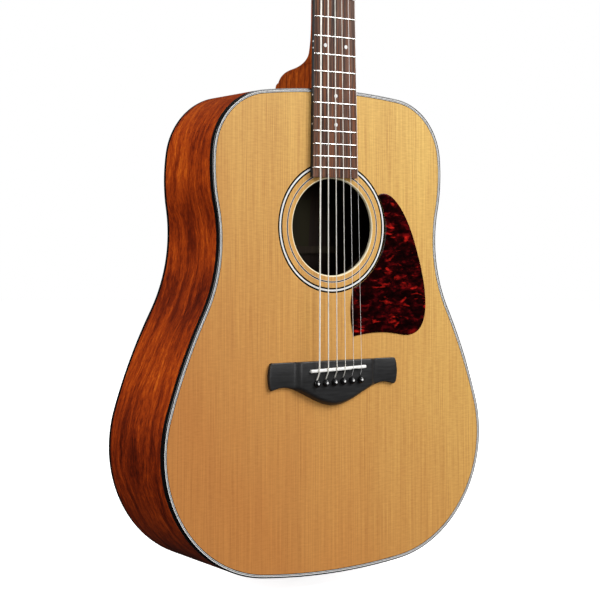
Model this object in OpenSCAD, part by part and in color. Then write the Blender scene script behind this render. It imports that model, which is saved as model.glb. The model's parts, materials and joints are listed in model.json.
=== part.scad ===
/* [Scale and neck] */
// Speaking length from the nut to the theoretical scale end
scale_len = 648; // [640:1:656]
// Number of frets
fret_count = 20; // [18:1:20]
// Width of the fretboard at the nut
nut_w = 44; // [42:0.5:46]
// Width of the fretboard where the neck meets the body
joint_w = 55.5; // [54:0.5:58]
// Thickness of the fretboard on its centre line
board_t = 6; // [5.5:0.1:6.5]
// Radius of the fretboard's crown across the neck
crown_r = 400; // [350:10:500]
// Depth of the neck wood behind the fretboard
neck_depth = 14; // [13:0.5:16]
// Angle of the headstock behind the neck
head_angle = 14; // [11:1:16]

/* [Body outline] */
// Distance from the scale end up to the body's upper edge
body_above = 288; // [287:0.5:289]
// Radius of the nearly flat upper edge
top_r = 700; // [600:10:800]
// Radius of the shoulder
shoulder_r = 69; // [65:1:73]
// Radius of the upper bout's flank
upper_r = 195; // [180:5:210]
// Radius of the waist
waist_r = 163; // [155:1:170]
// Radius of the long flank below the waist
flank_r = 580; // [540:10:620]
// Radius of the lower bout
lower_r = 132; // [128:1:136]

/* [Body depth] */
// Greatest depth of the body, on the centre line at the tail
body_depth = 125.5; // [120:0.5:130]
// Radius of the domed back
dome_r = 4572; // [4000:10:6000]
// Thickness of the soundboard
top_t = 2.8; // [2.5:0.1:3.2]
// Thickness of the back
back_t = 2.8; // [2.5:0.1:3.2]
// Thickness of the bent sides
side_t = 2; // [1.8:0.1:2.4]

/* [Soundhole] */
// Radius of the soundhole
hole_r = 51.3; // [49:0.1:52]
// Distance of the soundhole's centre above the scale end
hole_above = 141.7; // [140:0.1:143]

/* [Bridge and strings] */
// Half of the bridge's greatest length
bridge_half = 83; // [80:0.5:85]
// Height of the bridge's centre block
bridge_h = 8; // [7.5:0.1:8.5]
// Height of the strings above the soundboard at the saddle
saddle_h = 12.3; // [12:0.1:12.8]
// Distance between the outer strings at the saddle
saddle_spread = 55; // [54:0.5:56]
// Distance between the outer strings at the nut
nut_spread = 36.5; // [35:0.5:37.5]
// String radii, from the thickest string to the thinnest
string_r = [0.67, 0.53, 0.41, 0.31, 0.21, 0.16];

/* [Hidden] */
$fn = 48;

// The origin is on the centre line at the nut's front edge, in the plane of the soundboard.
// Z runs up the neck, -Y faces the player, and the bass strings are on the -X side.

// Places along the length
saddle_z = -scale_len;
body_top = saddle_z + body_above;
hole_z = saddle_z + hole_above;
board_end_above = 194;
board_end = saddle_z + board_end_above;
dome_below = 251;
dome_z = saddle_z - dome_below;
board_slope = (joint_w - nut_w) / fret_depth(14);

function fret_depth(n) = scale_len * (1 - pow(2, -n / 12));
function board_w(depth) = nut_w + board_slope * depth;

// Widths at the edge of the front and the back
binding_t = 1.5;
binding_h = 6;
back_binding_h = 5;
purfling_h = 1.5;

// Purfling lines: start and end inside the binding, and whether the line is white
purfling_lines = [[0, 1.1, 1], [1.1, 1.5, 0], [1.5, 2.2, 1], [2.2, 2.6, 0]];
purfling_w = purfling_lines[3][1];
lining_t = 5.5;
lining_h = 14;
gap = 0.05;

// Depths that reach past the back, and that start in front of its edge
past_back = 140;
before_back = 60;

// Body outline: a chain of tangent arcs from the top centre to the tail.
// A negative radius is the waist, which curves the other way.
outline_r = [top_r, shoulder_r, upper_r, -waist_r, flank_r, lower_r];
outline_a = [7.2, 77.4, 17.5, -39.2, 10.8, 99.5];

function sum_to(list, n) = n == 0 ? 0 : list[n - 1] + sum_to(list, n - 1);
function arc_shift(r, h0, h1) = r * [sin(h1) - sin(h0), cos(h1) - cos(h0)];
function arc_start(n) = n == 0 ? [0, body_top]
    : arc_start(n - 1) + arc_shift(outline_r[n - 1], sum_to(outline_a, n - 1), sum_to(outline_a, n));

last_heading = sum_to(outline_a, 6);
last_start = arc_start(6);
tail_r = last_start[0] / sin(last_heading);
all_r = concat(outline_r, [tail_r]);
all_a = concat(outline_a, [180 - last_heading]);
body_bottom = last_start[1] + tail_r * (-1 - cos(last_heading));

function arc_steps(a) = ceil(abs(a) / 5) + 1;
function half_outline(grow) = [
    for (n = [0:6])
        let (h0 = sum_to(all_a, n), start = arc_start_all(n), steps = arc_steps(all_a[n]))
        for (k = [(n == 0 ? 0 : 1):steps])
            let (h = h0 + all_a[n] * k / steps)
            start + arc_shift(all_r[n], h0, h) + grow * [sin(h), cos(h)]
];
function arc_start_all(n) = n == 7 ? [0, body_bottom] : arc_start(n);
function mirrored(points) = [for (k = [len(points) - 2:-1:1]) [-points[k][0], points[k][1]]];

// Bezier and blend helpers
function bezier(p, t) = pow(1 - t, 3) * p[0] + 3 * t * pow(1 - t, 2) * p[1]
    + 3 * t * t * (1 - t) * p[2] + pow(t, 3) * p[3];
function bezier_points(p, steps) = [for (k = [1:steps]) bezier(p, k / steps)];
function rounded(w, h, r) = [
    for (c = [[1, 1, 0], [-1, 1, 90], [-1, -1, 180], [1, -1, 270]])
        for (a = [0:22.5:90])
            [c[0] * (w / 2 - r) + r * cos(c[2] + a), c[1] * (h / 2 - r) + r * sin(c[2] + a)]
];

// Draws a flat outline in the X-Z plane and gives it depth from y0 back to y1
module slab(y0, y1) {
    translate([0, y1, 0])
        rotate([90, 0, 0])
            linear_extrude(height = y1 - y0)
                children();
}

module body_shape(grow = 0) {
    half = half_outline(grow);
    polygon(concat(half, mirrored(half)));
}

module body_ring(outer, inner) {
    difference() {
        body_shape(outer);
        body_shape(inner);
    }
}

// Everything in front of the domed back, less the given thickness
module dome(inside = 0) {
    translate([0, body_depth - dome_r, dome_z])
        rotate([-90, 0, 0])
            rotate_extrude($fn = 256)
                intersection() {
                    circle(r = dome_r - inside, $fn = 256);
                    translate([0, dome_r - 400])
                        square([700, 400]);
                }
}

module at_hole() {
    translate([0, 0, hole_z])
        rotate([90, 0, 0])
            children();
}

// Strings: positions across and heights above the soundboard
string_shift = 1.4;
function string_share(k) = (k - 2.5) / 5;
function string_x(k, depth) = string_shift * depth / scale_len
    + string_share(k) * (nut_spread + (saddle_spread - nut_spread) * depth / scale_len);
function crown_drop(x) = x * x / (2 * crown_r);
nut_proud = 1.5;
nut_h = board_t + nut_proud;
saddle_set = 7.5;
saddle_slope = 0.032;
function saddle_line(x) = saddle_z - saddle_set + saddle_slope * x;
pin_back = 13.4;
pin_spread = 56.5;
function pin_x(k) = string_shift + string_share(k) * pin_spread;
function pin_z(k) = saddle_line(pin_x(k)) - pin_back;
pin_r = 2.5;
slot_w = 1.7;
slot_reach = 4.8;

module pin_holes() {
    for (k = [0:5])
        translate([pin_x(k), 0, pin_z(k)]) {
            rotate([90, 0, 0])
                cylinder(r = pin_r + 0.1, h = 60, center = true);
            translate([-slot_w / 2, -30, 0])
                cube([slot_w, 60, slot_reach]);
        }
}

module soundboard() {
    color("burlywood")
        difference() {
            union() {
                slab(0, purfling_h)
                    body_shape(-binding_t - purfling_w);
                slab(purfling_h, top_t)
                    body_shape(-binding_t);
            }
            at_hole()
                cylinder(r = hole_r, h = 20, center = true, $fn = 96);
            rosette_cut();
            pin_holes();
        }
}

// Rosette rings: inner radius, outer radius and whether the ring is white
rosette_rings = [[57.2, 57.5, 1], [57.5, 58.7, 0], [58.7, 59, 1],
    [64.4, 65.9, 0], [65.9, 68.3, 1], [68.3, 69.8, 0]];
rosette_t = 1;
rosette_spans = [[rosette_rings[0][0], rosette_rings[2][1]],
    [rosette_rings[3][0], rosette_rings[5][1]]];

module ring(r0, r1, h) {
    rotate_extrude($fn = 120)
        translate([r0, 0])
            square([r1 - r0, h]);
}

module rosette_cut() {
    at_hole()
        translate([0, 0, -rosette_t])
            for (span = rosette_spans)
                ring(span[0], span[1], rosette_t + 2);
}

module rosette(white) {
    at_hole()
        translate([0, 0, -rosette_t])
            for (r = rosette_rings)
                if (r[2] == white)
                    ring(r[0], r[1], rosette_t);
}

module rosette_white() {
    color("ivory")
        rosette(1);
}

module rosette_black() {
    color("black")
        rosette(0);
}

module back_plate() {
    color("sienna")
        intersection() {
            difference() {
                dome();
                dome(back_t);
            }
            slab(before_back, past_back)
                body_shape(-binding_t);
        }
}

module sides() {
    color("saddlebrown")
        difference() {
            intersection() {
                slab(top_t, past_back)
                    body_ring(0, -side_t);
                dome(back_t);
            }
            slab(0, binding_h)
                body_ring(1, -binding_t);
            back_binding_space();
            tenon_space();
            pin_bore();
            graft_space();
        }
}

module back_binding_space() {
    difference() {
        slab(before_back, past_back + 1)
            body_ring(1, -binding_t);
        dome(back_binding_h);
    }
}

module front_binding() {
    color("black")
        slab(0, binding_h)
            body_ring(0, -binding_t);
}

module back_binding() {
    color("black")
        intersection() {
            difference() {
                slab(before_back, past_back + 1)
                    body_ring(0, -binding_t);
                dome(back_binding_h);
            }
            dome();
        }
}

module purfling(white) {
    slab(0, purfling_h)
        for (line = purfling_lines)
            if (line[2] == white)
                body_ring(-binding_t - line[0], -binding_t - line[1]);
}

module purfling_white() {
    color("white")
        purfling(1);
}

module purfling_black() {
    color("black")
        purfling(0);
}

block_w = 76;
neck_block_l = 55;
tail_block_l = 18;

// The linings stop at the two end blocks
module block_clear() {
    translate([-block_w / 2 - gap, 0, body_top - neck_block_l])
        cube([block_w + 2 * gap, past_back, neck_block_l + 10]);
    translate([-block_w / 2 - gap, 0, body_bottom - 10])
        cube([block_w + 2 * gap, past_back, tail_block_l + 10]);
}

module linings() {
    color("tan")
        difference() {
            union() {
                slab(top_t, top_t + lining_h)
                    body_ring(-side_t, -side_t - lining_t);
                intersection() {
                    difference() {
                        slab(before_back, past_back)
                            body_ring(-side_t, -side_t - lining_t);
                        dome(back_t + lining_h);
                    }
                    dome(back_t);
                }
            }
            block_clear();
        }
}

tenon_w = 24;
tenon_l = 22;
tenon_y0 = 8;
tenon_y1 = 72;

module tenon_space() {
    translate([-tenon_w / 2 - gap, tenon_y0 - gap, body_top - tenon_l - gap])
        cube([tenon_w + 2 * gap, tenon_y1 - tenon_y0 + 2 * gap, tenon_l + 3]);
}

module neck_block() {
    color("peru")
        difference() {
            intersection() {
                translate([-block_w / 2, top_t, body_top - neck_block_l])
                    cube([block_w, 130, neck_block_l]);
                slab(0, past_back)
                    body_shape(-side_t);
                dome(back_t);
            }
            tenon_space();
        }
}

pin_y = 62;
plug_r = 5;

module pin_bore() {
    translate([0, pin_y, body_bottom - 5])
        cylinder(r = plug_r + gap, h = 30);
}

module tail_block() {
    color("peru")
        difference() {
            intersection() {
                translate([-block_w / 2, top_t, body_bottom])
                    cube([block_w, 130, tail_block_l]);
                slab(0, past_back)
                    body_shape(-side_t);
                dome(back_t);
            }
            pin_bore();
        }
}

// A brace with tapered ends, lying along X against the plane y = 0
module brace(l, w, h, toe = 3, ramp = 40) {
    translate([0, 0, -w / 2])
        linear_extrude(height = w)
            polygon([[-l / 2, 0], [-l / 2, toe], [-l / 2 + ramp, h], [l / 2 - ramp, h],
                [l / 2, toe], [l / 2, 0]]);
}

x_cross_z = saddle_z + 62;
x_angle = 43;
x_h = 15;
x_w = 8;
x_leg_l = 384;
x_leg_shift = 42;

// The two legs share one lap joint: each is cut half away where they cross
module x_leg(side) {
    difference() {
        translate([0, top_t, x_cross_z])
            rotate([0, side * x_angle, 0])
                translate([side * x_leg_shift, 0, 0])
                    brace(x_leg_l, x_w, x_h, 3, 70);
        translate([0, top_t, x_cross_z])
            rotate([0, -side * x_angle, 0])
                translate([-20, side > 0 ? x_h / 2 : -1, -x_w / 2 - gap])
                    cube([40, x_h / 2 + (side > 0 ? 5 : 1), x_w + 2 * gap]);
    }
}

module x_braces() {
    color("wheat") {
        x_leg(1);
        x_leg(-1);
    }
}

// Smaller braces: distance off the centre line, height above the scale end, length
tone_bars = [[-18, -88, 150], [8, -140, 120]];
tone_angle = 30;
finger_bars = [[138, -24, 50], [128, 42, 40]];
finger_angle = 35;
hole_bar = [62, 173, 46];

module tone_braces() {
    color("wheat") {
        for (b = tone_bars)
            translate([b[0], top_t, saddle_z + b[1]])
                rotate([0, tone_angle, 0])
                    brace(b[2], 7, 11, 2, 30);
        for (s = [-1, 1]) {
            for (b = finger_bars)
                translate([s * b[0], top_t, saddle_z + b[1]])
                    rotate([0, s * -finger_angle, 0])
                        brace(b[2], 6, 7, 2, 15);
            translate([s * hole_bar[0], top_t, saddle_z + hole_bar[1]])
                rotate([0, 90, 0])
                    brace(hole_bar[2], 6, 5, 2, 12);
        }
    }
}

transverse_above = 68;
transverse_l = 262;

module transverse_brace() {
    color("wheat")
        translate([0, top_t, hole_z + transverse_above])
            brace(transverse_l, 12, 14, 3, 50);
}

// Back braces: height above the scale end, length, width and depth
back_bars = [[205, 268, 8, 12], [118, 254, 8, 12], [10, 330, 16, 9], [-95, 380, 16, 9]];

module back_braces() {
    color("wheat")
        intersection() {
            for (b = back_bars)
                difference() {
                    translate([-b[1] / 2, before_back, saddle_z + b[0] - b[2] / 2])
                        cube([b[1], past_back - before_back, b[2]]);
                    dome(back_t + b[3]);
                }
            dome(back_t);
        }
}

strip_w = 14;
strip_t = 2;
strip_l = body_top - neck_block_l - body_bottom - tail_block_l - 2;

module back_strip() {
    color("wheat")
        difference() {
            intersection() {
                translate([-strip_w / 2, before_back, body_bottom + tail_block_l + 1])
                    cube([strip_w, past_back - before_back, strip_l]);
                difference() {
                    dome(back_t);
                    dome(back_t + strip_t);
                }
            }
            for (b = back_bars)
                translate([-10, 50, saddle_z + b[0] - b[2] / 2 - gap])
                    cube([20, 90, b[2] + 2 * gap]);
        }
}

module bridge_plate() {
    color("tan")
        difference() {
            slab(top_t, top_t + plate_t)
                polygon([[-54, saddle_z + 2], [54, saddle_z + 2], [86, saddle_z - 30],
                    [86, saddle_z - 35], [-86, saddle_z - 35], [-86, saddle_z - 30]]);
            pin_holes();
        }
}

// Pickguard: follows the rosette on one side and free curves on the others
guard_t = 1.2;
guard_r = 70;

function guard_points() = concat(
    [for (a = [-68:7:30]) [guard_r * cos(a), hole_above + guard_r * sin(a)]],
    bezier_points([[60.2, 177], [76, 186], [97, 164], [110.5, 126]], 10),
    bezier_points([[110.5, 126], [121, 97], [129, 66], [124, 45]], 8),
    bezier_points([[124, 45], [120, 27], [107, 23], [92, 25.3]], 8),
    bezier_points([[92, 25.3], [72, 29], [58, 30.5], [27, 25.5]], 8),
    bezier_points([[27, 25.5], [22, 42], [21.5, 60], [26.2, 76.8]], 6));

module pickguard() {
    color("maroon")
        translate([0, 0, saddle_z])
            slab(-guard_t, 0)
                polygon(guard_points());
}

// Bridge: outline in plan, and a profile along its length
function bridge_half_plan() = concat(
    [[0, 1.2], [bridge_half - 3, 1.2]],
    bezier_points([[bridge_half - 3, 1.2], [bridge_half + 1, -6], [bridge_half + 1, -20],
        [bridge_half - 3, -27.6]], 8),
    bezier_points([[bridge_half - 3, -27.6], [64, -23], [58, -24.5], [46, -29.5]], 8),
    bezier_points([[46, -29.5], [30, -36.5], [16, -46], [0, -46]], 8));

module bridge_plan() {
    half = bridge_half_plan();
    polygon(concat(half, mirrored(half)));
}

saddle_l = 72;
saddle_x = 0.6;
saddle_t = 3.3;
saddle_slot_d = 4.5;

module saddle_plan(grow) {
    translate([saddle_x, saddle_line(saddle_x)])
        rotate(atan(saddle_slope))
            polygon(rounded(saddle_l + 2 * grow, saddle_t + 2 * grow, saddle_t / 2 + grow - 0.01));
}

bridge_profile = [[-90, 0], [-90, -3.8], [-70, -3.5], [-50, -4.2], [-46.5, -bridge_h],
    [46.5, -bridge_h], [50, -4.2], [70, -3.5], [90, -3.8], [90, 0]];

module bridge() {
    color("dimgray")
        difference() {
            intersection() {
                translate([0, 0, saddle_z])
                    slab(-bridge_h, 0)
                        bridge_plan();
                translate([0, 0, saddle_z - 60])
                    linear_extrude(height = 80)
                        polygon(bridge_profile);
            }
            slab(-bridge_h - 1, -bridge_h + saddle_slot_d)
                saddle_plan(gap);
            pin_holes();
        }
}

module saddle() {
    color("ivory")
        intersection() {
            slab(-saddle_h - 1, -bridge_h + saddle_slot_d)
                saddle_plan(0);
            translate([0, crown_r - saddle_h, saddle_z - 30])
                cylinder(r = crown_r, h = 60, $fn = 720);
        }
}

pin_head_r = 3.8;
pin_dot_r = 1.5;
pin_dot_h = 3.2;

module bridge_pins() {
    color("black")
        for (k = [0:5])
            translate([pin_x(k), -bridge_h, pin_z(k)])
                rotate([90, 0, 0])
                    difference() {
                        rotate_extrude()
                            polygon([[0, -24], [pin_r - 0.4, -24], [pin_r, -20], [pin_r, 0.6],
                                [pin_head_r, 0.6], [pin_head_r, 2.2], [2.9, 3.6], [0, 3.9]]);
                        translate([0, 0, pin_dot_h])
                            cylinder(r = pin_dot_r + gap, h = 2);
                        translate([-slot_w / 2, 0.9, -25])
                            cube([slot_w, 5, 25.7]);
                        translate([-slot_w / 2, 2.2, -0.5])
                            cube([slot_w, 5, 6]);
                    }
}

module pin_dots() {
    color("white")
        for (k = [0:5])
            translate([pin_x(k), -bridge_h - pin_dot_h, pin_z(k)])
                rotate([90, 0, 0])
                    cylinder(r = pin_dot_r, h = 0.8);
}

plate_t = 2.5;
ball_r = 2;
ball_l = 4;
ball_y = top_t + plate_t + ball_r + gap;

module ball_ends() {
    color("gold")
        for (k = [0:5])
            translate([pin_x(k) - ball_l / 2, ball_y, pin_z(k) + pin_r + ball_r + 0.1])
                rotate([0, 90, 0])
                    difference() {
                        cylinder(r = ball_r, h = ball_l);
                        translate([0, 0, -1])
                            cylinder(r = 0.9, h = ball_l + 2);
                    }
}

// Neck
shelf_z = 5;
heel_rise = 356;
neck_side_gap = 0.2;

function neck_section(z, a, b) = [
    for (t = [0:15:180]) [a * cos(t), b * sin(t), z]
];

module loft(rows) {
    n = len(rows[0]);
    m = len(rows);
    polyhedron(
        points = [for (r = rows) for (p = r) p],
        faces = concat(
            [[for (k = [0:n - 1]) k]],
            [for (j = [0:m - 2]) for (k = [0:n - 1])
                [j * n + k, (j + 1) * n + k, (j + 1) * n + (k + 1) % n, j * n + (k + 1) % n]],
            [[for (k = [n - 1:-1:0]) (m - 1) * n + k]]));
}

heel_y = 90;
cap_t = 3;

function heel_profile() = concat(
    [[0, body_above], [0, heel_rise]],
    bezier_points([[neck_depth - 1.2, heel_rise], [15.5, 326], [32, 316.5], [60, 314.5]], 12),
    bezier_points([[60, 314.5], [78, 313.2], [93, 308], [93, 293]], 10),
    [[93, body_above]]);

module heel_side() {
    translate([-40, 0, 0])
        rotate([90, 0, 90])
            linear_extrude(height = 80)
                translate([0, saddle_z])
                    polygon(heel_profile());
}

module heel_section() {
    half = board_w(-saddle_z - heel_rise) / 2 - neck_side_gap;
    half_points = concat([[half, 0]],
        bezier_points([[half, 0], [half - 0.8, 16], [19, 26], [16.5, 50]], 8),
        bezier_points([[16.5, 50], [15.3, 66], [14, 80], [11.5, 94]], 4));
    translate([0, 0, body_top])
        linear_extrude(height = 80)
            polygon(concat(half_points, [for (k = [len(half_points) - 1:-1:0])
                [-half_points[k][0], half_points[k][1]]]));
}

module neck_wood() {
    intersection() {
        heel_side();
        heel_section();
    }
    loft([neck_section(body_top + 20, board_w(-body_top - 20) / 2 - neck_side_gap, neck_depth),
        neck_section(shelf_z, nut_w / 2 - neck_side_gap, neck_depth - 0.6)]);
    translate([-tenon_w / 2, tenon_y0, body_top - tenon_l])
        cube([tenon_w, tenon_y1 - tenon_y0, tenon_l + 1]);
}

rod_w = 6;
rod_d = 9;
rod_l = 340;
rod_end_z = -12;
screw_y = 4.5;
thread_r = 2.6;
thread_l = 20;
bore_r = 5;

module neck() {
    color("chocolate")
        difference() {
            neck_wood();
            translate([-rod_w / 2 - gap, -1, rod_end_z - rod_l - gap])
                cube([rod_w + 2 * gap, 1 + rod_d + gap, rod_l + 2 * gap]);
            translate([0, screw_y, rod_end_z - 1])
                cylinder(r = bore_r, h = 40);
            translate([-40, heel_y, body_top - 1])
                cube([80, 10, 60]);
        }
}

module heel_cap() {
    color("black")
        intersection() {
            heel_side();
            heel_section();
            translate([-40, heel_y, body_top])
                cube([80, cap_t, 60]);
        }
}

module truss_rod() {
    color("silver") {
        translate([-rod_w / 2, 0.4, rod_end_z - rod_l])
            cube([rod_w, rod_d - 0.4, rod_l]);
        translate([0, screw_y, rod_end_z])
            cylinder(r = thread_r, h = thread_l);
    }
}

hex_z = 2;
hex_r = 4;
hex_l = 12;
socket_r = 2.3;
socket_d = 5;

module truss_nut() {
    color("goldenrod")
        translate([0, screw_y, hex_z])
            difference() {
                cylinder(r = hex_r, h = hex_l, $fn = 6);
                translate([0, 0, -1])
                    cylinder(r = thread_r + gap, h = hex_l - socket_d + 1);
                translate([0, 0, hex_l - socket_d - 0.5])
                    cylinder(r = socket_r, h = socket_d + 1, $fn = 6);
            }
}

// Fretboard, its crown, its slots and its inlaid dots
module board_plan(grow = 0) {
    end = -board_end;
    polygon([[-nut_w / 2 - grow, 0], [nut_w / 2 + grow, 0],
        [board_w(end) / 2 + grow, -end], [-board_w(end) / 2 - grow, -end]]);
}

module crown(raise = 0) {
    translate([0, crown_r - board_t, -600])
        cylinder(r = crown_r + raise, h = 700, $fn = 1440);
}

single_dots = [3, 5, 7, 9, 15, 17];
double_dot = 12;
dot_spread = 13.4;
side_dot_spread = 3.4;
side_dot_y = -2.6;
dot_r = 2.1;
side_dot_r = 0.9;
function mid_fret(n) = -(fret_depth(n) + fret_depth(n - 1)) / 2;

module dots(grow) {
    for (n = single_dots)
        translate([0, 0, mid_fret(n)])
            front_dot(grow);
    for (s = [-1, 1])
        translate([s * dot_spread, 0, mid_fret(double_dot)])
            front_dot(grow);
    for (n = single_dots)
        side_dot(n, 0, grow);
    for (s = [-1, 1])
        side_dot(double_dot, s * side_dot_spread, grow);
}

module front_dot(grow) {
    translate([0, -board_t + 1.5 + grow, 0])
        rotate([90, 0, 0])
            cylinder(r = dot_r + grow, h = 5);
}

module side_dot(n, shift, grow) {
    z = mid_fret(n) + shift;
    translate([-board_w(-z) / 2 + 1.5 + grow, side_dot_y, z])
        rotate([0, -90, 0])
            cylinder(r = side_dot_r + grow, h = 5);
}

fret_slot_w = 0.6;
fret_slot_d = 3.1;

module fretboard() {
    color("saddlebrown")
        difference() {
            intersection() {
                slab(-board_t - 1, 0)
                    board_plan();
                crown();
            }
            for (n = [1:fret_count])
                translate([-40, -board_t - 1, -fret_depth(n) - fret_slot_w / 2])
                    cube([80, 1 + fret_slot_d, fret_slot_w]);
            dots(0.02);
        }
}

module position_dots() {
    color("white")
        intersection() {
            dots(0);
            slab(-board_t - 1, 0)
                board_plan();
            crown();
        }
}

fret_h = 1;
fret_half_w = 1.1;
tang_half_t = 0.25;
tang_d = 1.8;

fret_profile = [[-tang_d, -tang_half_t], [0.01, -tang_half_t], [0.01, -fret_half_w], [0.6, -0.9],
    [fret_h, -0.35], [fret_h, 0.35], [0.6, 0.9], [0.01, fret_half_w], [0.01, tang_half_t],
    [-tang_d, tang_half_t]];

module frets() {
    color("silver")
        intersection() {
            for (n = [1:fret_count])
                translate([0, crown_r - board_t, -fret_depth(n)])
                    rotate([0, 0, -94.6])
                        rotate_extrude(angle = 9.2, $fn = 1440)
                            translate([crown_r, 0])
                                polygon(fret_profile);
            slab(-board_t - 2, 0)
                board_plan();
        }
}

module nut() {
    color("ivory")
        difference() {
            intersection() {
                translate([-nut_w / 2, -12, 0])
                    cube([nut_w, 12, shelf_z]);
                translate([0, crown_r - nut_h - 0.3, -10])
                    cylinder(r = crown_r, h = 30, $fn = 720);
            }
            for (k = [0:5])
                translate([string_x(k, 0), string_y_nut(k), -1])
                    union() {
                        cylinder(r = string_r[k] + gap, h = 10, $fn = 24);
                        translate([-string_r[k] - gap, -3, 0])
                            cube([2 * (string_r[k] + gap), 3, 10]);
                    }
        }
}

function string_y_nut(k) = -nut_h + crown_drop(string_x(k, 0)) - string_r[k];
function string_y_saddle(k) = -saddle_h + crown_drop(string_x(k, scale_len)) - string_r[k] - 0.03;

// Headstock, in its own tilted frame behind the nut
head_t = 13;
veneer_t = 2;
cover_t = 1.6;

module at_head() {
    translate([0, 0, shelf_z])
        rotate([-head_angle, 0, 0])
            children();
}

function head_half() = concat(
    [[nut_w / 2 - neck_side_gap, -6], [nut_w / 2 - neck_side_gap, 2]],
    bezier_points([[nut_w / 2 - neck_side_gap, 2], [24, 12], [34, 14], [37.5, 24]], 8),
    [[34.5, 150]],
    bezier_points([[34.5, 150], [33.5, 164], [24, 166], [0, 172]], 8));

module head_plan() {
    half = head_half();
    polygon(concat(half, [for (k = [len(half) - 2:-1:0]) [-half[k][0], half[k][1]]]));
}

// Tuner places: outward side, distance from the centre line, distance above the nut.
// Strings 1 to 3 are the bass side from the nut up, 4 to 6 the treble side from the top down.
tuner_z = [38, 80, 122];
tuner_x = [25.5, 24.5, 23.5];
function tuner_side(k) = k < 3 ? -1 : 1;
function tuner_row(k) = k < 3 ? k : 5 - k;
function post_x(k) = tuner_side(k) * tuner_x[tuner_row(k)];
function post_z(k) = tuner_z[tuner_row(k)];

// Places the children at one tuner, with +X pointing outwards from the centre line
module at_tuner(k) {
    at_head()
        translate([post_x(k), 0, post_z(k)])
            mirror([tuner_side(k) < 0 ? 1 : 0, 0, 0])
                children();
}

module at_post(k) {
    at_tuner(k)
        rotate([90, 0, 0])
            children();
}

post_r = 3;
bush_r = 4.9;
worm_v = 19;
worm_w = 9;
case_top = 25;
ear_z = -13;
ear_t = 2;

module headstock_holes() {
    for (k = [0:5]) {
        at_post(k)
            cylinder(r = bush_r + 0.1, h = 60, center = true);
        at_tuner(k)
            translate([0, head_t - 8, ear_z])
                rotate([-90, 0, 0])
                    cylinder(r = 1.3, h = 9);
    }
}

module truss_pocket() {
    at_head()
        translate([-7, -5, -20])
            cube([14, 5 + 6, 38]);
    translate([0, screw_y, -5])
        cylinder(r = bore_r, h = 26);
}

module headstock() {
    color("chocolate")
        difference() {
            intersection() {
                at_head()
                    slab(0, head_t)
                        head_plan();
                translate([-60, -40, shelf_z])
                    cube([120, 140, 200]);
            }
            headstock_holes();
            truss_pocket();
            cover_screw_holes();
        }
}

module headstock_veneer() {
    color("black")
        difference() {
            intersection() {
                at_head()
                    slab(-veneer_t, 0)
                        head_plan();
                translate([-60, -40, shelf_z + 0.1])
                    cube([120, 140, 200]);
            }
            headstock_holes();
            truss_pocket();
            cover_screw_holes();
        }
}

cover_z = [8, 33];
cover_screw_x = 9.3;

module cover_screw_holes() {
    for (s = [-cover_screw_x, cover_screw_x])
        at_head()
            translate([s, 0, cover_z[0]])
                rotate([90, 0, 0])
                    cylinder(r = 1, h = 14, center = true);
    at_head()
        translate([0, 0, cover_z[1]])
            rotate([90, 0, 0])
                cylinder(r = 1, h = 14, center = true);
}

module truss_cover() {
    color("black")
        difference() {
            at_head()
                slab(-veneer_t - cover_t, -veneer_t)
                    polygon([[-12, 3], [12, 3], [12.5, 8], [10, 15], [5, 24], [4, 32], [2.5, 36],
                        [-2.5, 36], [-4, 32], [-5, 24], [-10, 15], [-12.5, 8]]);
            cover_screw_holes();
        }
}

module screw(head_r, r, l) {
    rotate_extrude($fn = 24)
        polygon([[0, -l], [r * 0.4, -l], [r, -l + 1.5], [r, 0], [head_r, 0], [head_r, 0.5],
            [head_r * 0.6, 1.1], [0, 1.3]]);
}

module headstock_screws() {
    color("silver") {
        for (s = [-cover_screw_x, cover_screw_x])
            at_head()
                translate([s, -veneer_t - cover_t, cover_z[0]])
                    rotate([90, 0, 0])
                        screw(1.7, 0.95, 8);
        at_head()
            translate([0, -veneer_t - cover_t, cover_z[1]])
                rotate([90, 0, 0])
                    screw(1.7, 0.95, 8);
        for (k = [0:5])
            at_tuner(k)
                translate([0, head_t + ear_t, ear_z])
                    rotate([-90, 0, 0])
                        screw(2.3, 1.2, 9);
    }
}

// Tuners
module tuner_housing() {
    difference() {
        union() {
            translate([1.5, case_top, 3.5])
                rotate([90, 0, 0])
                    linear_extrude(height = case_top - head_t)
                        polygon(rounded(21, 23, 4));
            translate([0, head_t, ear_z])
                rotate([-90, 0, 0])
                    linear_extrude(height = ear_t)
                        polygon(rounded(8, 12, 3.9));
            translate([11, worm_v, worm_w])
                rotate([0, 90, 0])
                    cylinder(r = 4.6, h = 6);
        }
        translate([-7.5, head_t - 1, -6.5])
            cube([18, 11.5, 20]);
        translate([9, worm_v, worm_w])
            rotate([0, 90, 0])
                cylinder(r = 2.05, h = 10);
        translate([-8.6, worm_v, worm_w])
            rotate([0, 90, 0])
                cylinder(r = 1.55, h = 3);
        translate([0, head_t - 1, ear_z])
            rotate([-90, 0, 0])
                cylinder(r = 1.3, h = 5);
    }
}

module tuner_housings() {
    color("silver")
        for (k = [0:5])
            at_tuner(k)
                tuner_housing();
}

module tuner_bushings() {
    color("silver")
        for (k = [0:5])
            at_post(k)
                difference() {
                    union() {
                        translate([0, 0, -9])
                            cylinder(r = bush_r, h = 12);
                        translate([0, 0, veneer_t])
                            cylinder(r = 7.6, h = 1);
                        translate([0, 0, veneer_t + 1])
                            cylinder(r = 6.6, h = 2.6, $fn = 6);
                    }
                    translate([0, 0, -20])
                        cylinder(r = post_r + gap, h = 40);
                }
}

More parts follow.
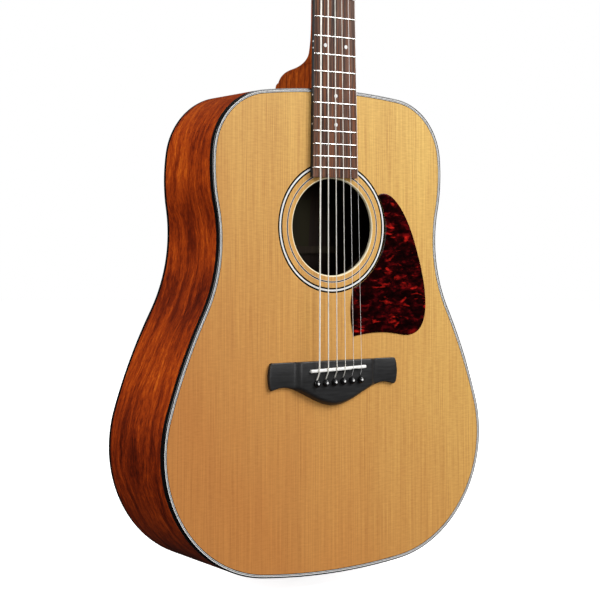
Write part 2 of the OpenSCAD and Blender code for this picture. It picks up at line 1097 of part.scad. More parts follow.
module button(k) {
    color("silver")
        at_tuner(k)
            translate([0, worm_v, worm_w])
                rotate([0, 90, 0])
                    difference() {
                        union() {
                            translate([0, 0, 17.5])
                                cylinder(r = 3.6, h = 4.5);
                            intersection() {
                                translate([0, 0, 28.5])
                                    scale([1, 1, 0.76])
                                        sphere(r = 10.2);
                                translate([-10.2, -3.6, 21.5])
                                    cube([20.4, 7.2, 15]);
                            }
                        }
                        translate([0, 0, 17])
                            cylinder(r = 2, h = 9.5);
                    }
}

module worm(k) {
    color("silver")
        at_tuner(k)
            translate([0, worm_v, worm_w])
                rotate([0, 90, 0])
                    rotate_extrude()
                        polygon(concat([[0, -8.3], [1.5, -8.3], [1.5, -7.2], [1.9, -7.2]],
                            [for (j = [0:4]) for (p = [[1.9, 0], [2.6, 0.5], [2.6, 0.9], [1.9, 1.4]])
                                [p[0], -5 + j * 2.2 + p[1]]],
                            [[2, 6.5], [2, 26.4], [0, 26.4]]));
}

wheel_teeth = 14;
wheel_v = 16.5;

module wheel() {
    linear_extrude(height = 5)
        polygon([for (j = [0:wheel_teeth - 1]) for (p = [[4.6, 0], [5.9, 0.32], [5.9, 0.58], [4.6, 0.9]])
            p[0] * [cos((j + p[1]) * 360 / wheel_teeth), sin((j + p[1]) * 360 / wheel_teeth)]]);
}

wrap_h = 7.5;
waist_post_r = 2.6;
wrap_gap = 0.04;
function wrap_count(k) = k < 3 ? 3 : 5;

module post(k) {
    color("silver")
        at_post(k)
            difference() {
                union() {
                    rotate_extrude()
                        polygon([[0, -23], [post_r, -23], [post_r, 6.2],
                            [waist_post_r, 7], [waist_post_r, 13], [post_r, 14],
                            [post_r, 18.5], [2.4, 19.4], [0, 19.4]]);
                    translate([0, 0, -wheel_v - 5])
                        wheel();
                }
                translate([0, 0, 12.4])
                    rotate([0, 90, 0])
                        cylinder(r = 0.8, h = 10, center = true, $fn = 24);
            }
    color("gold")
        at_post(k)
            for (j = [0:wrap_count(k) - 1])
                translate([0, 0, wrap_h + string_r[k] + j * (2 * string_r[k] + 0.02)])
                    rotate_extrude()
                        translate([wrap_r(k), 0])
                            circle(r = string_r[k], $fn = 16);
}

// End pin and the graft over the seam of the two sides
module end_pin() {
    color("black")
        translate([0, pin_y, body_bottom])
            rotate_extrude()
                polygon([[0, 19], [4.6, 19], [plug_r, 16], [plug_r, 0], [7, 0], [7, -1.5],
                    [4.5, -3], [4.5, -9], [6.2, -11.5], [6.2, -13.5], [4, -15], [0, -15.4]]);
}

graft_w = 16;
graft_t = 0.8;

module graft_space() {
    translate([-graft_w / 2, binding_h, body_bottom - 1])
        cube([graft_w, 130, 1 + graft_t]);
}

module tail_graft() {
    color("black")
        difference() {
            intersection() {
                graft_space();
                slab(0, past_back)
                    body_shape(0);
                dome(back_binding_h);
            }
            pin_bore();
        }
}

// Strings as tubes through points
function unit(v) = v / norm(v);
function tube_rings(points, r) = [
    for (j = [0:len(points) - 1])
        let (a = points[max(j - 1, 0)], b = points[min(j + 1, len(points) - 1)])
        let (d = unit(b - a), side = unit(cross(d, [0.3, 1, 0.2])), up = cross(d, side))
        [for (t = [0:45:315]) points[j] + r * (cos(t) * side + sin(t) * up)]
];

function head_to_world(p) = [p[0],
    p[1] * cos(head_angle) + p[2] * sin(head_angle),
    shelf_z - p[1] * sin(head_angle) + p[2] * cos(head_angle)];

// The string leaves the post on its inner side and stops just short of the wraps
function wrap_r(k) = waist_post_r + wrap_gap + string_r[k];
function short_of_post(k) = sqrt(pow(wrap_r(k) + 2 * string_r[k] + 0.4, 2) - pow(wrap_r(k), 2));
function string_end(k) = head_to_world([post_x(k) - tuner_side(k) * wrap_r(k),
    -wrap_h - string_r[k], post_z(k) - short_of_post(k)]);

function string_points(k) =
    let (xs = string_x(k, scale_len), px = pin_x(k), r = string_r[k])
    let (zs = saddle_line(xs), slot_z = pin_z(k) + slot_reach - r - 0.35)
    [[px, top_t + plate_t - 0.1, slot_z], [px, -bridge_h + 0.5, slot_z],
        [px, -bridge_h - r - 0.2, slot_z + 0.4],
        [xs, string_y_saddle(k), zs - saddle_t / 2 - 0.1],
        [string_x(k, 0), string_y_nut(k), 0],
        [string_x(k, 0), string_y_nut(k), shelf_z + 0.3],
        string_end(k)];

module string(k) {
    loft(tube_rings(string_points(k), string_r[k]));
}

module wound_strings() {
    color("peru")
        for (k = [0:3])
            string(k);
}

module plain_strings() {
    color("silver")
        for (k = [4, 5])
            string(k);
}

soundboard();
back_plate();
sides();
linings();
front_binding();
back_binding();
purfling_white();
purfling_black();
neck_block();
tail_block();
x_braces();
tone_braces();
transverse_brace();
back_braces();
back_strip();
bridge_plate();
rosette_white();
rosette_black();
pickguard();
bridge();
saddle();
bridge_pins();
pin_dots();
ball_ends();
neck();
headstock();
headstock_veneer();
heel_cap();
fretboard();
frets();
position_dots();
nut();
truss_rod();
truss_nut();
truss_cover();
headstock_screws();
end_pin();
tail_graft();
tuner_housings();
tuner_bushings();
wound_strings();
plain_strings();
button(0);  // button_1
button(1);  // button_2
button(2);  // button_3
button(3);  // button_4
button(4);  // button_5
button(5);  // button_6
worm(0);  // worm_1
worm(1);  // worm_2
worm(2);  // worm_3
worm(3);  // worm_4
worm(4);  // worm_5
worm(5);  // worm_6
post(0);  // post_1
post(1);  // post_2
post(2);  // post_3
post(3);  // post_4
post(4);  // post_5
post(5);  // post_6
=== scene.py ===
"""Acoustic guitar: its looks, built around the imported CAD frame."""
import json
import math

import bmesh
import bpy
import numpy as np
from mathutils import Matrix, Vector


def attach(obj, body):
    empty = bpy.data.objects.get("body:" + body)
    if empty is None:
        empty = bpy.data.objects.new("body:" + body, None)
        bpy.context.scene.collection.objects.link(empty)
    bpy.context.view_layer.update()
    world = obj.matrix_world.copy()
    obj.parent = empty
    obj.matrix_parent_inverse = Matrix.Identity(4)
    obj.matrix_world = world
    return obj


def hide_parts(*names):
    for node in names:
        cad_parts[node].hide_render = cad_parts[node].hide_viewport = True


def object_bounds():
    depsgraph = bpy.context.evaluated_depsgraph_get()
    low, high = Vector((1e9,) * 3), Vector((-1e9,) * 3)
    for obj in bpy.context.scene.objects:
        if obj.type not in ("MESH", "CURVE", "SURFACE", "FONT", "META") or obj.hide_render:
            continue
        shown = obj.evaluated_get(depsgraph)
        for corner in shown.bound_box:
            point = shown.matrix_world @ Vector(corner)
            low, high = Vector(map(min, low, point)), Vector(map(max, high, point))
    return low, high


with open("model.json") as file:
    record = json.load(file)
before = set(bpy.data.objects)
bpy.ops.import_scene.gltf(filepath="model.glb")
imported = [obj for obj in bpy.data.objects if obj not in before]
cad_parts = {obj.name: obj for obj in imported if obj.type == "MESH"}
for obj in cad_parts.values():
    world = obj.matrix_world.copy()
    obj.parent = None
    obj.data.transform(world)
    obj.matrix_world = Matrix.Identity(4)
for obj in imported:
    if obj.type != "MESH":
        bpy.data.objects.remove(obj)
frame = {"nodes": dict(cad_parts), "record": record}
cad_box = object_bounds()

# Lengths in this script are millimetres in the model's frame, until a mesh is made.
MM = 0.001

# Camera and stage
CAMERA_AT = (-0.8709, -1.2052, -0.5341)
CAMERA_AZIMUTH = 33.13
CAMERA_RISE = 1.96
CAMERA_LENS = 84.1
CAMERA_SHIFT = (0.0563, -0.1577)

# Places along the length
SCALE = 648
SADDLE_Z = -SCALE
TOP_Z = SADDLE_Z + 288
HOLE_Z = SADDLE_Z + 141.7
BOARD_END = SADDLE_Z + 194
HOLE_R = 51.3

# Body outline: radii and turns of its tangent arcs, from the top centre down the treble side
ARC_RADII = [700, 69, 195, -163, 580, 132]
ARC_TURNS = [7.2, 77.4, 17.5, -39.2, 10.8, 99.5]

# Domed back
DOME_R = 4572
DOME_Z = SADDLE_Z - 251
BODY_DEPTH = 125.5
TOP_T = 2.8
BACK_T = 2.8
SIDE_T = 2
RIM_R = 1.5

# Edge build-up
BINDING_T = 1.5
BINDING_H = 6
# Purfling lines: start and end inside the binding
WHITE_LINES = [(0, 0.8), (1.4, 1.9)]
BLACK_LINES = [(0.8, 1.4), (1.9, 2.6)]
PURFLING_W = 2.6

# Fretboard and nut
NUT_W = 44
JOINT_W = 55.5
BOARD_T = 6
CROWN_R = 400
FRETS = 20
SHELF_Z = 5
NUT_H = BOARD_T + 1.5

# Strings
STRING_R = [0.67, 0.53, 0.41, 0.31, 0.21, 0.16]
STRING_SWELL = 1.2
NUT_SPREAD = 36.5
SADDLE_SPREAD = 55
PIN_SPREAD = 56.5
STRING_SHIFT = 1.4
SADDLE_H = 12.3
BRIDGE_H = 8

# Headstock and tuners
HEAD_ANGLE = math.radians(14)
HEAD_T = 13
NECK_END_D = 13.4
VENEER_T = 2
TUNER_Z = [38, 80, 122]
TUNER_X = [25.5, 24.5, 23.5]


# ---- shader building
MATERIALS = {}


class Nodes:
    """Short calls for the nodes of a material's or the world's tree."""

    def __init__(self, owner):
        owner.use_nodes = True
        self.tree = owner.node_tree
        self.tree.nodes.clear()

    def node(self, kind, inputs=None, **settings):
        made = self.tree.nodes.new(kind)
        for key, value in settings.items():
            setattr(made, key, value)
        for key, value in (inputs or {}).items():
            self.feed(made.inputs[key], value)
        return made

    def feed(self, socket, value):
        if isinstance(value, bpy.types.NodeSocket):
            self.tree.links.new(value, socket)
        elif isinstance(value, (tuple, list)) and len(value) == 3 and socket.type == "RGBA":
            socket.default_value = (*value, 1)
        else:
            socket.default_value = value

    def place(self, grain=False):
        """Coordinates in metres: the model frame's, or the piece's own grain."""
        if grain:
            return self.node("ShaderNodeAttribute", attribute_name="grain").outputs["Vector"]
        return self.node("ShaderNodeTexCoord").outputs["Object"]

    def scaled(self, vector, scale, shift=(0, 0, 0)):
        inputs = {"Vector": vector, "Scale": scale, "Location": shift}
        return self.node("ShaderNodeMapping", inputs).outputs[0]

    def noise(self, vector, detail=2, rough=0.5, warp=0):
        inputs = {"Vector": vector, "Scale": 1, "Detail": detail, "Roughness": rough,
                  "Distortion": warp}
        return self.node("ShaderNodeTexNoise", inputs).outputs["Fac"]

    def stretched(self, parts, scale, detail=2, rough=0.5):
        """Noise at a place whose x, y and z parts are each multiplied by their own number."""
        place = [self.times(part, factor) for part, factor in zip(parts, scale)]
        return self.noise(self.join(*place), detail, rough)

    def math(self, operation, a, b=0):
        return self.node("ShaderNodeMath", {0: a, 1: b}, operation=operation).outputs[0]

    def times(self, a, b):
        return self.math("MULTIPLY", a, b)

    def add(self, first, *others):
        for other in others:
            first = self.math("ADD", first, other)
        return first

    def ramp(self, fac, stops):
        made = self.node("ShaderNodeValToRGB", {"Fac": fac})
        elements = made.color_ramp.elements
        while len(elements) < len(stops):
            elements.new(0.5)
        for element, (at, colour) in zip(elements, stops):
            element.position = at
            element.color = (*colour, 1)
        return made.outputs["Color"]

    def level(self, fac, low, high, out_low=0, out_high=1):
        inputs = {"Value": fac, "From Min": low, "From Max": high, "To Min": out_low,
                  "To Max": out_high}
        return self.node("ShaderNodeMapRange", inputs, clamp=True).outputs["Result"]

    def mix(self, fac, a, b, blend="MIX"):
        made = self.node("ShaderNodeMix", data_type="RGBA", blend_type=blend)
        self.feed(made.inputs[0], fac)
        self.feed(made.inputs[6], a)
        self.feed(made.inputs[7], b)
        return made.outputs[2]

    def split(self, vector):
        return self.node("ShaderNodeSeparateXYZ", {"Vector": vector}).outputs

    def join(self, x, y, z):
        return self.node("ShaderNodeCombineXYZ", {"X": x, "Y": y, "Z": z}).outputs[0]


class Shader(Nodes):
    """A material with a Principled surface, listed under its name."""

    def __init__(self, name, coat=0, coat_rough=0.03, specular=0.5, **surface):
        MATERIALS[name] = bpy.data.materials.new(name)
        super().__init__(MATERIALS[name])
        self.surface = self.node("ShaderNodeBsdfPrincipled", {
            "Coat Weight": coat, "Coat Roughness": coat_rough, "Specular IOR Level": specular,
            **surface})
        self.node("ShaderNodeOutputMaterial", {"Surface": self.surface.outputs[0]})

    def colour(self, value):
        self.feed(self.surface.inputs["Base Color"], value)

    def rough(self, value):
        self.feed(self.surface.inputs["Roughness"], value)

    def bump(self, height, distance, strength):
        made = self.node("ShaderNodeBump", {"Height": height, "Distance": distance,
                                            "Strength": strength})
        self.feed(self.surface.inputs["Normal"], made.outputs[0])


def spruce(name, pale, painted_shade_rgb, line_rgb, gloss=0.42):
    """Quarter-sawn spruce: growth lines along Z that are mirrored about the centre seam, over painted
    light that runs from the darker shaded colour to the pale lit colour, lighter towards the upper
    right.
    """
    s = Shader(name, coat=0.12, coat_rough=0.25, specular=0.2)
    x, _, z = s.split(s.place())
    across = s.math("ABSOLUTE", x)
    drift = s.stretched((across, 0, z), (9, 1, 2.6), 3)
    bent = s.add(across, s.times(drift, 0.006))
    lines = s.stretched((bent, 0, z), (620, 1, 3), 2, 0.7)
    hair = s.stretched((bent, 5, z), (1500, 1, 14), 2)
    bands = s.stretched((bent, 0, z), (70, 1, 1.6), 3)
    silk = s.stretched((x, 0, z), (110, 1, 620), 3, 0.6)
    # Painted light: the colour is painted lighter towards +X and +Z, the upper right, as a gradient
    # from the shaded colour to the pale lit colour, broken up by a cloudy noise.
    cloud = s.stretched((x, 7, z), (20, 1, 9), 3)
    painted_light_gradient = s.add(s.times(x, 1.85), s.times(z, 1.48), s.times(cloud, 0.24))
    base = s.mix(s.level(painted_light_gradient, -1.25, -0.25), painted_shade_rgb, pale)
    shade = s.add(s.level(lines, 0.42, 0.7, 0, 0.26), s.level(hair, 0.4, 0.7, 0, 0.34),
                  s.level(bands, 0.4, 0.7, 0, 0.1), s.level(silk, 0.35, 0.7, 0.2, 0))
    s.colour(s.mix(shade, base, line_rgb))
    s.rough(s.level(lines, 0.3, 0.8, gloss, gloss + 0.08))
    s.bump(lines, 0.00003, 0.25)


def mahogany(name, stops, grain=True, gloss=0.32, coat=0.08, stripe=110, along=13,
             figure=()):
    """Ribbon-striped mahogany under lacquer. Grain runs along Z and stripes lie across X.
    figure lists (place along Z in metres, how much brighter or darker the wood is there), as painted
    light and shade."""
    s = Shader(name, coat=coat, coat_rough=0.15, specular=0.15)
    x, y, z = s.split(s.place(grain))
    sway = s.stretched((x, y, z), (9, 9, 7), 3)
    bent = s.add(x, s.times(sway, 0.06))
    ribbon = s.stretched((bent, y, z), (stripe, stripe, along), 3, 0.6)
    broad = s.stretched((bent, y, z), (34, stripe, 9), 3, 0.55)
    fleck = s.stretched((bent, y, z), (520, 520, 110), 4, 0.75)
    pores = s.stretched((x, y, z), (1900, 1900, 170), 2)
    tone = s.add(s.times(ribbon, 0.33), s.times(broad, 0.29), s.times(fleck, 0.38))
    if figure:
        low, high = figure[0][0], figure[-1][0]
        greys = [((at - low) / (high - low), (v, v, v)) for at, v in figure]
        # Painted light and shade from the figure table, by place along Z
        painted_light_and_shade = s.node("ShaderNodeRGBToBW", {"Color": s.ramp(s.level(z, low, high), greys)})
        tone = s.add(tone, s.math("SUBTRACT", painted_light_and_shade.outputs[0], 0.5))
    base = s.ramp(s.level(tone, 0.37, 0.65), stops)
    pore_rgb = tuple(c * 0.4 for c in stops[0][1])
    s.colour(s.mix(s.level(pores, 0.57, 0.7, 0, 0.5), base, pore_rgb))
    s.rough(s.level(tone, 0.3, 0.7, gloss + 0.06, gloss))
    s.bump(pores, 0.00004, 0.12)


def plain_wood(name, pale, dark, scale=160, gloss=0.6):
    """Bare inner wood with grain along Z."""
    s = Shader(name)
    at = s.split(s.place())
    streak = s.stretched(at, (scale, scale, 5), 4, 0.6)
    fine = s.stretched(at, (scale * 9, scale * 9, 60), 2)
    base = s.mix(s.level(streak, 0.35, 0.7), pale, dark)
    s.colour(s.mix(s.level(fine, 0.5, 0.8, 0, 0.3), base, dark))
    s.rough(s.level(fine, 0.3, 0.8, gloss, gloss + 0.15))
    s.bump(fine, 0.00005, 0.3)


def rosewood(name):
    """Oiled rosewood: brown-grey with red and black streaks along Z and open pores."""
    s = Shader(name, specular=0.2)
    x, y, z = s.split(s.place())
    sway = s.stretched((x, 0, z), (12, 1, 9), 3)
    bent = s.add(x, s.times(sway, 0.008))
    streak = s.stretched((bent, y, z), (330, 260, 8), 4, 0.7)
    red = s.stretched((bent, y, z), (520, 400, 9), 2, 0.5)
    pores = s.stretched((x, y, z), (3000, 3000, 130), 2)
    base = s.ramp(s.level(streak, 0.34, 0.68), [
        (0, (0.012, 0.006, 0.004)), (0.35, (0.07, 0.033, 0.022)),
        (0.7, (0.15, 0.076, 0.05)), (1, (0.27, 0.145, 0.09))])
    base = s.mix(s.level(red, 0.48, 0.64, 0, 0.8), base, (0.23, 0.07, 0.022))
    s.colour(s.mix(s.level(pores, 0.58, 0.7, 0, 0.7), base, (0.02, 0.011, 0.009)))
    s.rough(s.level(pores, 0.4, 0.7, 0.42, 0.62))
    s.bump(pores, 0.00006, 0.3)


def ebony(name, base_rgb=(0.015, 0.015, 0.0155), gloss=0.36, coat=0):
    """Satin black hardwood with a faint figure along X."""
    s = Shader(name, coat=coat, coat_rough=0.08, specular=0.35)
    at = s.split(s.place())
    streak = s.stretched(at, (45, 300, 520), 4, 0.6)
    pores = s.stretched(at, (150, 2500, 2500), 2)
    pale = tuple(c * 2 for c in base_rgb)
    base = s.mix(s.level(streak, 0.35, 0.75), base_rgb, pale)
    s.colour(s.mix(s.level(pores, 0.58, 0.72, 0, 0.5), base, (0.006, 0.006, 0.006)))
    s.rough(s.level(streak, 0.3, 0.8, gloss, gloss + 0.1))
    s.bump(pores, 0.00004, 0.2)


def tortoise(name):
    """Dark red celluloid with cloudy mottles and a few bright patches."""
    s = Shader(name, coat=0.25, specular=0.2)
    at = s.place()
    cloud = s.noise(s.scaled(at, (62, 62, 120)), 4, 0.6, 0.5)
    small = s.noise(s.scaled(at, (160, 160, 330)), 3, 0.6, 0.4)
    spots = s.noise(s.scaled(at, (55, 55, 130), (3.1, 0.4, 1.7)), 2, 0.5, 0.6)
    tone = s.add(s.times(cloud, 0.68), s.times(small, 0.32))
    base = s.ramp(s.level(tone, 0.42, 0.66), [
        (0, (0.0035, 0.0003, 0.0005)), (0.4, (0.013, 0.0005, 0.001)),
        (0.72, (0.055, 0.0012, 0.002)), (1, (0.15, 0.003, 0.003))])
    glow = s.times(s.level(spots, 0.6, 0.76), s.level(small, 0.36, 0.6, 0.2, 1))
    s.colour(s.mix(glow, base, (0.8, 0.02, 0.012)))
    s.rough(s.level(small, 0.3, 0.7, 0.06, 0.11))


def celluloid(name, rgb, gloss=0.2, vary=0.12):
    """Moulded or celluloid plastic with a slight cloudiness and hairline wear in its gloss."""
    s = Shader(name, coat=0.15, coat_rough=0.06, specular=0.3)
    cloud = s.noise(s.scaled(s.place(), (300, 300, 300)), 3)
    wear = s.noise(s.scaled(s.place(), (2400, 2400, 300)), 3)
    darker = tuple(c * (1 - vary) for c in rgb)
    s.colour(s.mix(s.level(cloud, 0.3, 0.7), darker, rgb))
    s.rough(s.level(wear, 0.4, 0.8, gloss, gloss + 0.12))


def metal(name, rgb, gloss=0.12, wear=0.12, metallic=1):
    """Plated or bare metal with smears and fine scratches in its polish."""
    s = Shader(name, Metallic=metallic)
    smear = s.noise(s.scaled(s.place(), (220, 220, 220)), 4, 0.6)
    scratch = s.noise(s.scaled(s.place(), (4000, 4000, 250)), 2)
    dull = tuple(c * 0.82 for c in rgb)
    s.colour(s.mix(s.level(smear, 0.35, 0.7), rgb, dull))
    s.rough(s.level(s.add(smear, s.times(scratch, 0.5)), 0.5, 1.1, gloss, gloss + wear))


def paper(name):
    """Plain aged paper for the blank label inside, its colour painted dark as the shade inside the
    body.
    """
    s = Shader(name)
    fibre = s.noise(s.scaled(s.place(), (900, 900, 900)), 4, 0.65)
    # Painted shade: both paper colours are kept near black for the dark inside of the body.
    s.colour(s.mix(s.level(fibre, 0.3, 0.7), (0.032, 0.026, 0.009), (0.042, 0.035, 0.013)))
    s.rough(s.level(fibre, 0.3, 0.7, 0.75, 0.9))
    s.bump(fibre, 0.00003, 0.4)


GLOSS_MAHOGANY = [(0, (0.045, 0.0035, 0.0006)), (0.3, (0.15, 0.014, 0.0012)),
                  (0.6, (0.34, 0.042, 0.0025)), (0.85, (0.56, 0.10, 0.006)),
                  (1, (0.72, 0.19, 0.016))]
NECK_MAHOGANY = [(0, (0.07, 0.009, 0.001)), (0.35, (0.20, 0.03, 0.003)),
                 (0.7, (0.40, 0.078, 0.006)), (1, (0.60, 0.16, 0.014))]
# Painted light and shade on the sides: where they are painted brighter or darker, by length along
# them in metres
SIDE_PAINTED_LIGHT_AND_SHADE = [(0, 0.5), (0.14, 0.54), (0.2, 0.53), (0.26, 0.47), (0.32, 0.46), (0.38, 0.51),
               (0.43, 0.51), (0.5, 0.475), (0.58, 0.46), (0.72, 0.47)]

# Each spruce gets a pale painted-lit colour and a darker painted-shade colour for its painted light
# gradient.
spruce("spruce_top", (0.86, 0.58, 0.165), (0.63, 0.265, 0.066), (0.36, 0.125, 0.03))
spruce("spruce_rim", (0.95, 0.88, 0.66), (0.95, 0.86, 0.6), (0.85, 0.7, 0.42))
# The sides get painted light and shade along their length.
mahogany("mahogany", GLOSS_MAHOGANY, figure=SIDE_PAINTED_LIGHT_AND_SHADE)
mahogany("back_mahogany", GLOSS_MAHOGANY, stripe=70, along=5)
mahogany("neck_mahogany", NECK_MAHOGANY, grain=False, coat=0.1, stripe=150, along=16)
plain_wood("lining_wood", (0.10, 0.045, 0.02), (0.05, 0.022, 0.01))
# Painted shade: the braces and the bare inside of the back get near-black colours for the shade
# inside the body.
plain_wood("spruce_brace", (0.05, 0.03, 0.015), (0.03, 0.018, 0.009), 500)
plain_wood("bare_back_painted_shade", (0.035, 0.014, 0.006), (0.014, 0.006, 0.003), 90)
plain_wood("maple", (0.60, 0.44, 0.27), (0.46, 0.31, 0.17), 240)
rosewood("rosewood")
ebony("ebony")
ebony("head_ebony", (0.008, 0.008, 0.009), 0.42, 0.04)
celluloid("black_binding", (0.003, 0.003, 0.0035), 0.16)
celluloid("white_purfling", (0.84, 0.84, 0.83), 0.3, 0.08)
tortoise("tortoise")
celluloid("bone", (0.95, 0.94, 0.91), 0.28, 0.05)
celluloid("black_plastic", (0.009, 0.009, 0.01), 0.18)
metal("brass", (0.70, 0.50, 0.20), 0.22)
metal("fret_wire", (0.86, 0.85, 0.83), 0.16, 0.06)
metal("steel", (0.45, 0.45, 0.46), 0.32)
metal("steel_string", (1, 1, 1), 0.3, metallic=0.25)
metal("bronze_string", (1, 0.98, 0.9), 0.3, 0.05, 0.1)
metal("chrome", (0.86, 0.86, 0.87), 0.14, 0.08, metallic=0.6)
paper("paper")


# ---- mesh building
def new_mesh(name, verts, faces):
    """A mesh from points in millimetres."""
    mesh = bpy.data.meshes.new(name)
    mesh.from_pydata([tuple(c * MM for c in v) for v in verts], [], faces)
    return mesh


def linked(name, data):
    made = bpy.data.objects.new(name, data)
    bpy.context.scene.collection.objects.link(made)
    return made


def piece(name, verts, faces, slot, body="root", replaces=(), sharp=32, material=None,
          grain=None, materials=(), face_material=None):
    """Makes a mesh from points in millimetres, shades it, and fastens it to its body.
    material is for a piece whose looks differ from its slot's. face_material gives the number
    in materials, from 1, of the faces that don't have the first one."""
    mesh = new_mesh(name, verts, faces)
    if grain is not None:
        attribute = mesh.attributes.new("grain", "FLOAT_VECTOR", "POINT")
        attribute.data.foreach_set("vector", (np.array(grain, np.float32) * MM).ravel())
    bm = bmesh.new()
    bm.from_mesh(mesh)
    if face_material:
        bm.faces.ensure_lookup_table()
        for index, number in face_material.items():
            bm.faces[index].material_index = number
    bmesh.ops.recalc_face_normals(bm, faces=bm.faces)
    for face in bm.faces:
        face.smooth = True
    for edge in bm.edges:
        edge.smooth = edge.calc_face_angle(0) < math.radians(sharp)
    bm.to_mesh(mesh)
    bm.free()
    for key in [material or slot, *materials]:
        mesh.materials.append(MATERIALS[key])
    made = linked(name, mesh)
    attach(made, body)
    if replaces:
        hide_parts(*replaces)
    return made


def merged(parts):
    """Joins several (points, faces) pairs into one."""
    verts, faces = [], []
    for points, polygons in parts:
        shift = len(verts)
        verts.extend(points)
        faces.extend([tuple(i + shift for i in f) for f in polygons])
    return verts, faces


def loft(rings, closed=False, caps=True):
    """Skins rings of equally many points. closed joins the last ring to the first."""
    count = len(rings[0])
    verts = [p for ring in rings for p in ring]
    faces = []
    last = len(rings) if closed else len(rings) - 1
    for j in range(last):
        a, b = j * count, (j + 1) % len(rings) * count
        for k in range(count):
            n = (k + 1) % count
            faces.append((a + k, a + n, b + n, b + k))
    if caps and not closed:
        faces.append(tuple(range(count - 1, -1, -1)))
        faces.append(tuple(range(len(verts) - count, len(verts))))
    return verts, faces


def bezier_points(p, steps):
    """Points along a cubic curve, without its start."""
    a, b, c, d = (np.array(v, float) for v in p)
    return [tuple((1 - t) ** 3 * a + 3 * t * (1 - t) ** 2 * b + 3 * t * t * (1 - t) * c + t ** 3 * d)
            for t in (k / steps for k in range(1, steps + 1))]


def curve_table(curves, steps=24):
    """x and y samples of joined curves, sorted by x."""
    points = sorted({p for c in curves for p in [tuple(map(float, c[0]))] + bezier_points(c, steps)})
    return [p[0] for p in points], [p[1] for p in points]


def clamped(value):
    return min(max(value, 0), 1)


def eased(value):
    """0 to 1 with a gentle start and end."""
    t = clamped(value)
    return t * t * (3 - 2 * t)


def circle(radius, count, x=0, y=0):
    turns = [2 * math.pi * k / count for k in range(count)]
    return [(x + radius * math.cos(a), y + radius * math.sin(a)) for a in turns]


def mirrored(half):
    """Closes a half outline that starts off the centre line and ends on or near it."""
    return list(half) + [(-x, z) for x, z in half[::-1] if x > 0.31]


def inset(points, amount):
    """Moves a closed outline's points inwards, along the mean of their two edges' normals."""
    p = np.array(points, float)
    ahead, behind = np.roll(p, -1, 0), np.roll(p, 1, 0)
    area = np.sum(p[:, 0] * ahead[:, 1] - ahead[:, 0] * p[:, 1])
    along = ahead - behind
    normal = np.stack([-along[:, 1], along[:, 0]], 1) * (1 if area > 0 else -1)
    normal /= np.maximum(np.linalg.norm(normal, axis=1), 1e-9)[:, None]
    return [tuple(v) for v in p + normal * amount]


def rounded_box(w, h, r, steps=6):
    """Outline of a rectangle with round corners, about the origin."""
    corners = [(1, 1, 0), (-1, 1, 90), (-1, -1, 180), (1, -1, 270)]
    return [(sx * (w / 2 - r) + r * math.cos(math.radians(a0 + 90 * k / steps)),
             sz * (h / 2 - r) + r * math.sin(math.radians(a0 + 90 * k / steps)))
            for sx, sz, a0 in corners for k in range(steps + 1)]


def plate(outline, y_face, y_base, edge=0.4, place=None, steps=4):
    """A flat piece with a rounded front edge. place maps a local point to the model frame."""
    place = place or (lambda p: p)
    into = 1 if y_base > y_face else -1
    rings = [[(x, y_base, z) for x, z in outline]]
    for k in range(steps + 1):
        a = math.pi / 2 * k / steps
        shrink = edge * (1 - math.cos(a))
        y = y_face + into * edge * (1 - math.sin(a))
        rings.append([(x, y, z) for x, z in inset(outline, shrink)])
    verts, faces = loft(rings)
    return [place(v) for v in verts], faces


def revolve(profile, place, segments=32):
    """Turns (radius, height) points about a local Z axis. A radius of 0 closes an end."""
    return loft([[place((x, y, h)) for x, y in circle(r, segments)] for r, h in profile])


def tube(path, radius, sides=10):
    """A round tube along a path, with its rings square to the mean direction at each point."""
    p = [Vector(v) for v in path]
    rings, side = [], Vector((1, 0, 0))
    for j, at in enumerate(p):
        ahead = p[min(j + 1, len(p) - 1)] - at
        past = at - p[max(j - 1, 0)]
        direction = (ahead.normalized() + past.normalized()).normalized()
        side = (side - direction * side.dot(direction)).normalized()
        up = direction.cross(side)
        rings.append([tuple(at + side * a + up * b) for a, b in circle(radius, sides)])
    return loft(rings)


# ---- body
def outline_loop(step=4):
    """The outline as a closed loop of (x, z, normal x, normal z, length along that side)."""
    x, z, heading, run = 0, float(TOP_Z), 0, 0
    half = [(x, z, 0, 1, 0)]
    radii, turns = list(ARC_RADII), list(ARC_TURNS)
    for number in range(len(radii) + 1):
        if number == len(radii):
            radii.append(x / math.sin(math.radians(heading)))
            turns.append(180 - heading)
        r, turn = radii[number], turns[number]
        count = max(4, math.ceil(abs(r * math.radians(turn)) / step))
        h0, x0, z0 = math.radians(heading), x, z
        for k in range(1, count + 1):
            h = h0 + math.radians(turn) * k / count
            half.append((x0 + r * (math.sin(h) - math.sin(h0)), z0 + r * (math.cos(h) - math.cos(h0)),
                         math.sin(h), math.cos(h), run + abs(r * (h - h0))))
        x, z, run = half[-1][0], half[-1][1], half[-1][4]
        heading += turn
    return half + [(-a, b, -c, d, e) for a, b, c, d, e in half[-2:0:-1]]


LOOP = outline_loop()
BODY_BOTTOM = min(p[1] for p in LOOP)


def back_y(x, z):
    """Depth of the domed back's outer face."""
    return BODY_DEPTH - DOME_R + math.sqrt(DOME_R ** 2 - x * x - (z - DOME_Z) ** 2)


def edge_ring(profile):
    """Sweeps a closed profile of (growth, depth) round the outline. A depth may be a function."""
    rings, grain = [], []
    for x, z, nx, nz, run in LOOP:
        ring = []
        for grow, depth in profile:
            px, pz = x + grow * nx, z + grow * nz
            py = depth(px, pz) if callable(depth) else depth
            ring.append((px, py, pz))
            grain.append((py, grow, run))
        rings.append(ring)
    return (*loft(rings, closed=True), grain)


def behind(offset):
    return lambda x, z: back_y(x, z) - offset


def blended(front, offset, share):
    return lambda x, z: front + share * (back_y(x, z) - offset - front)


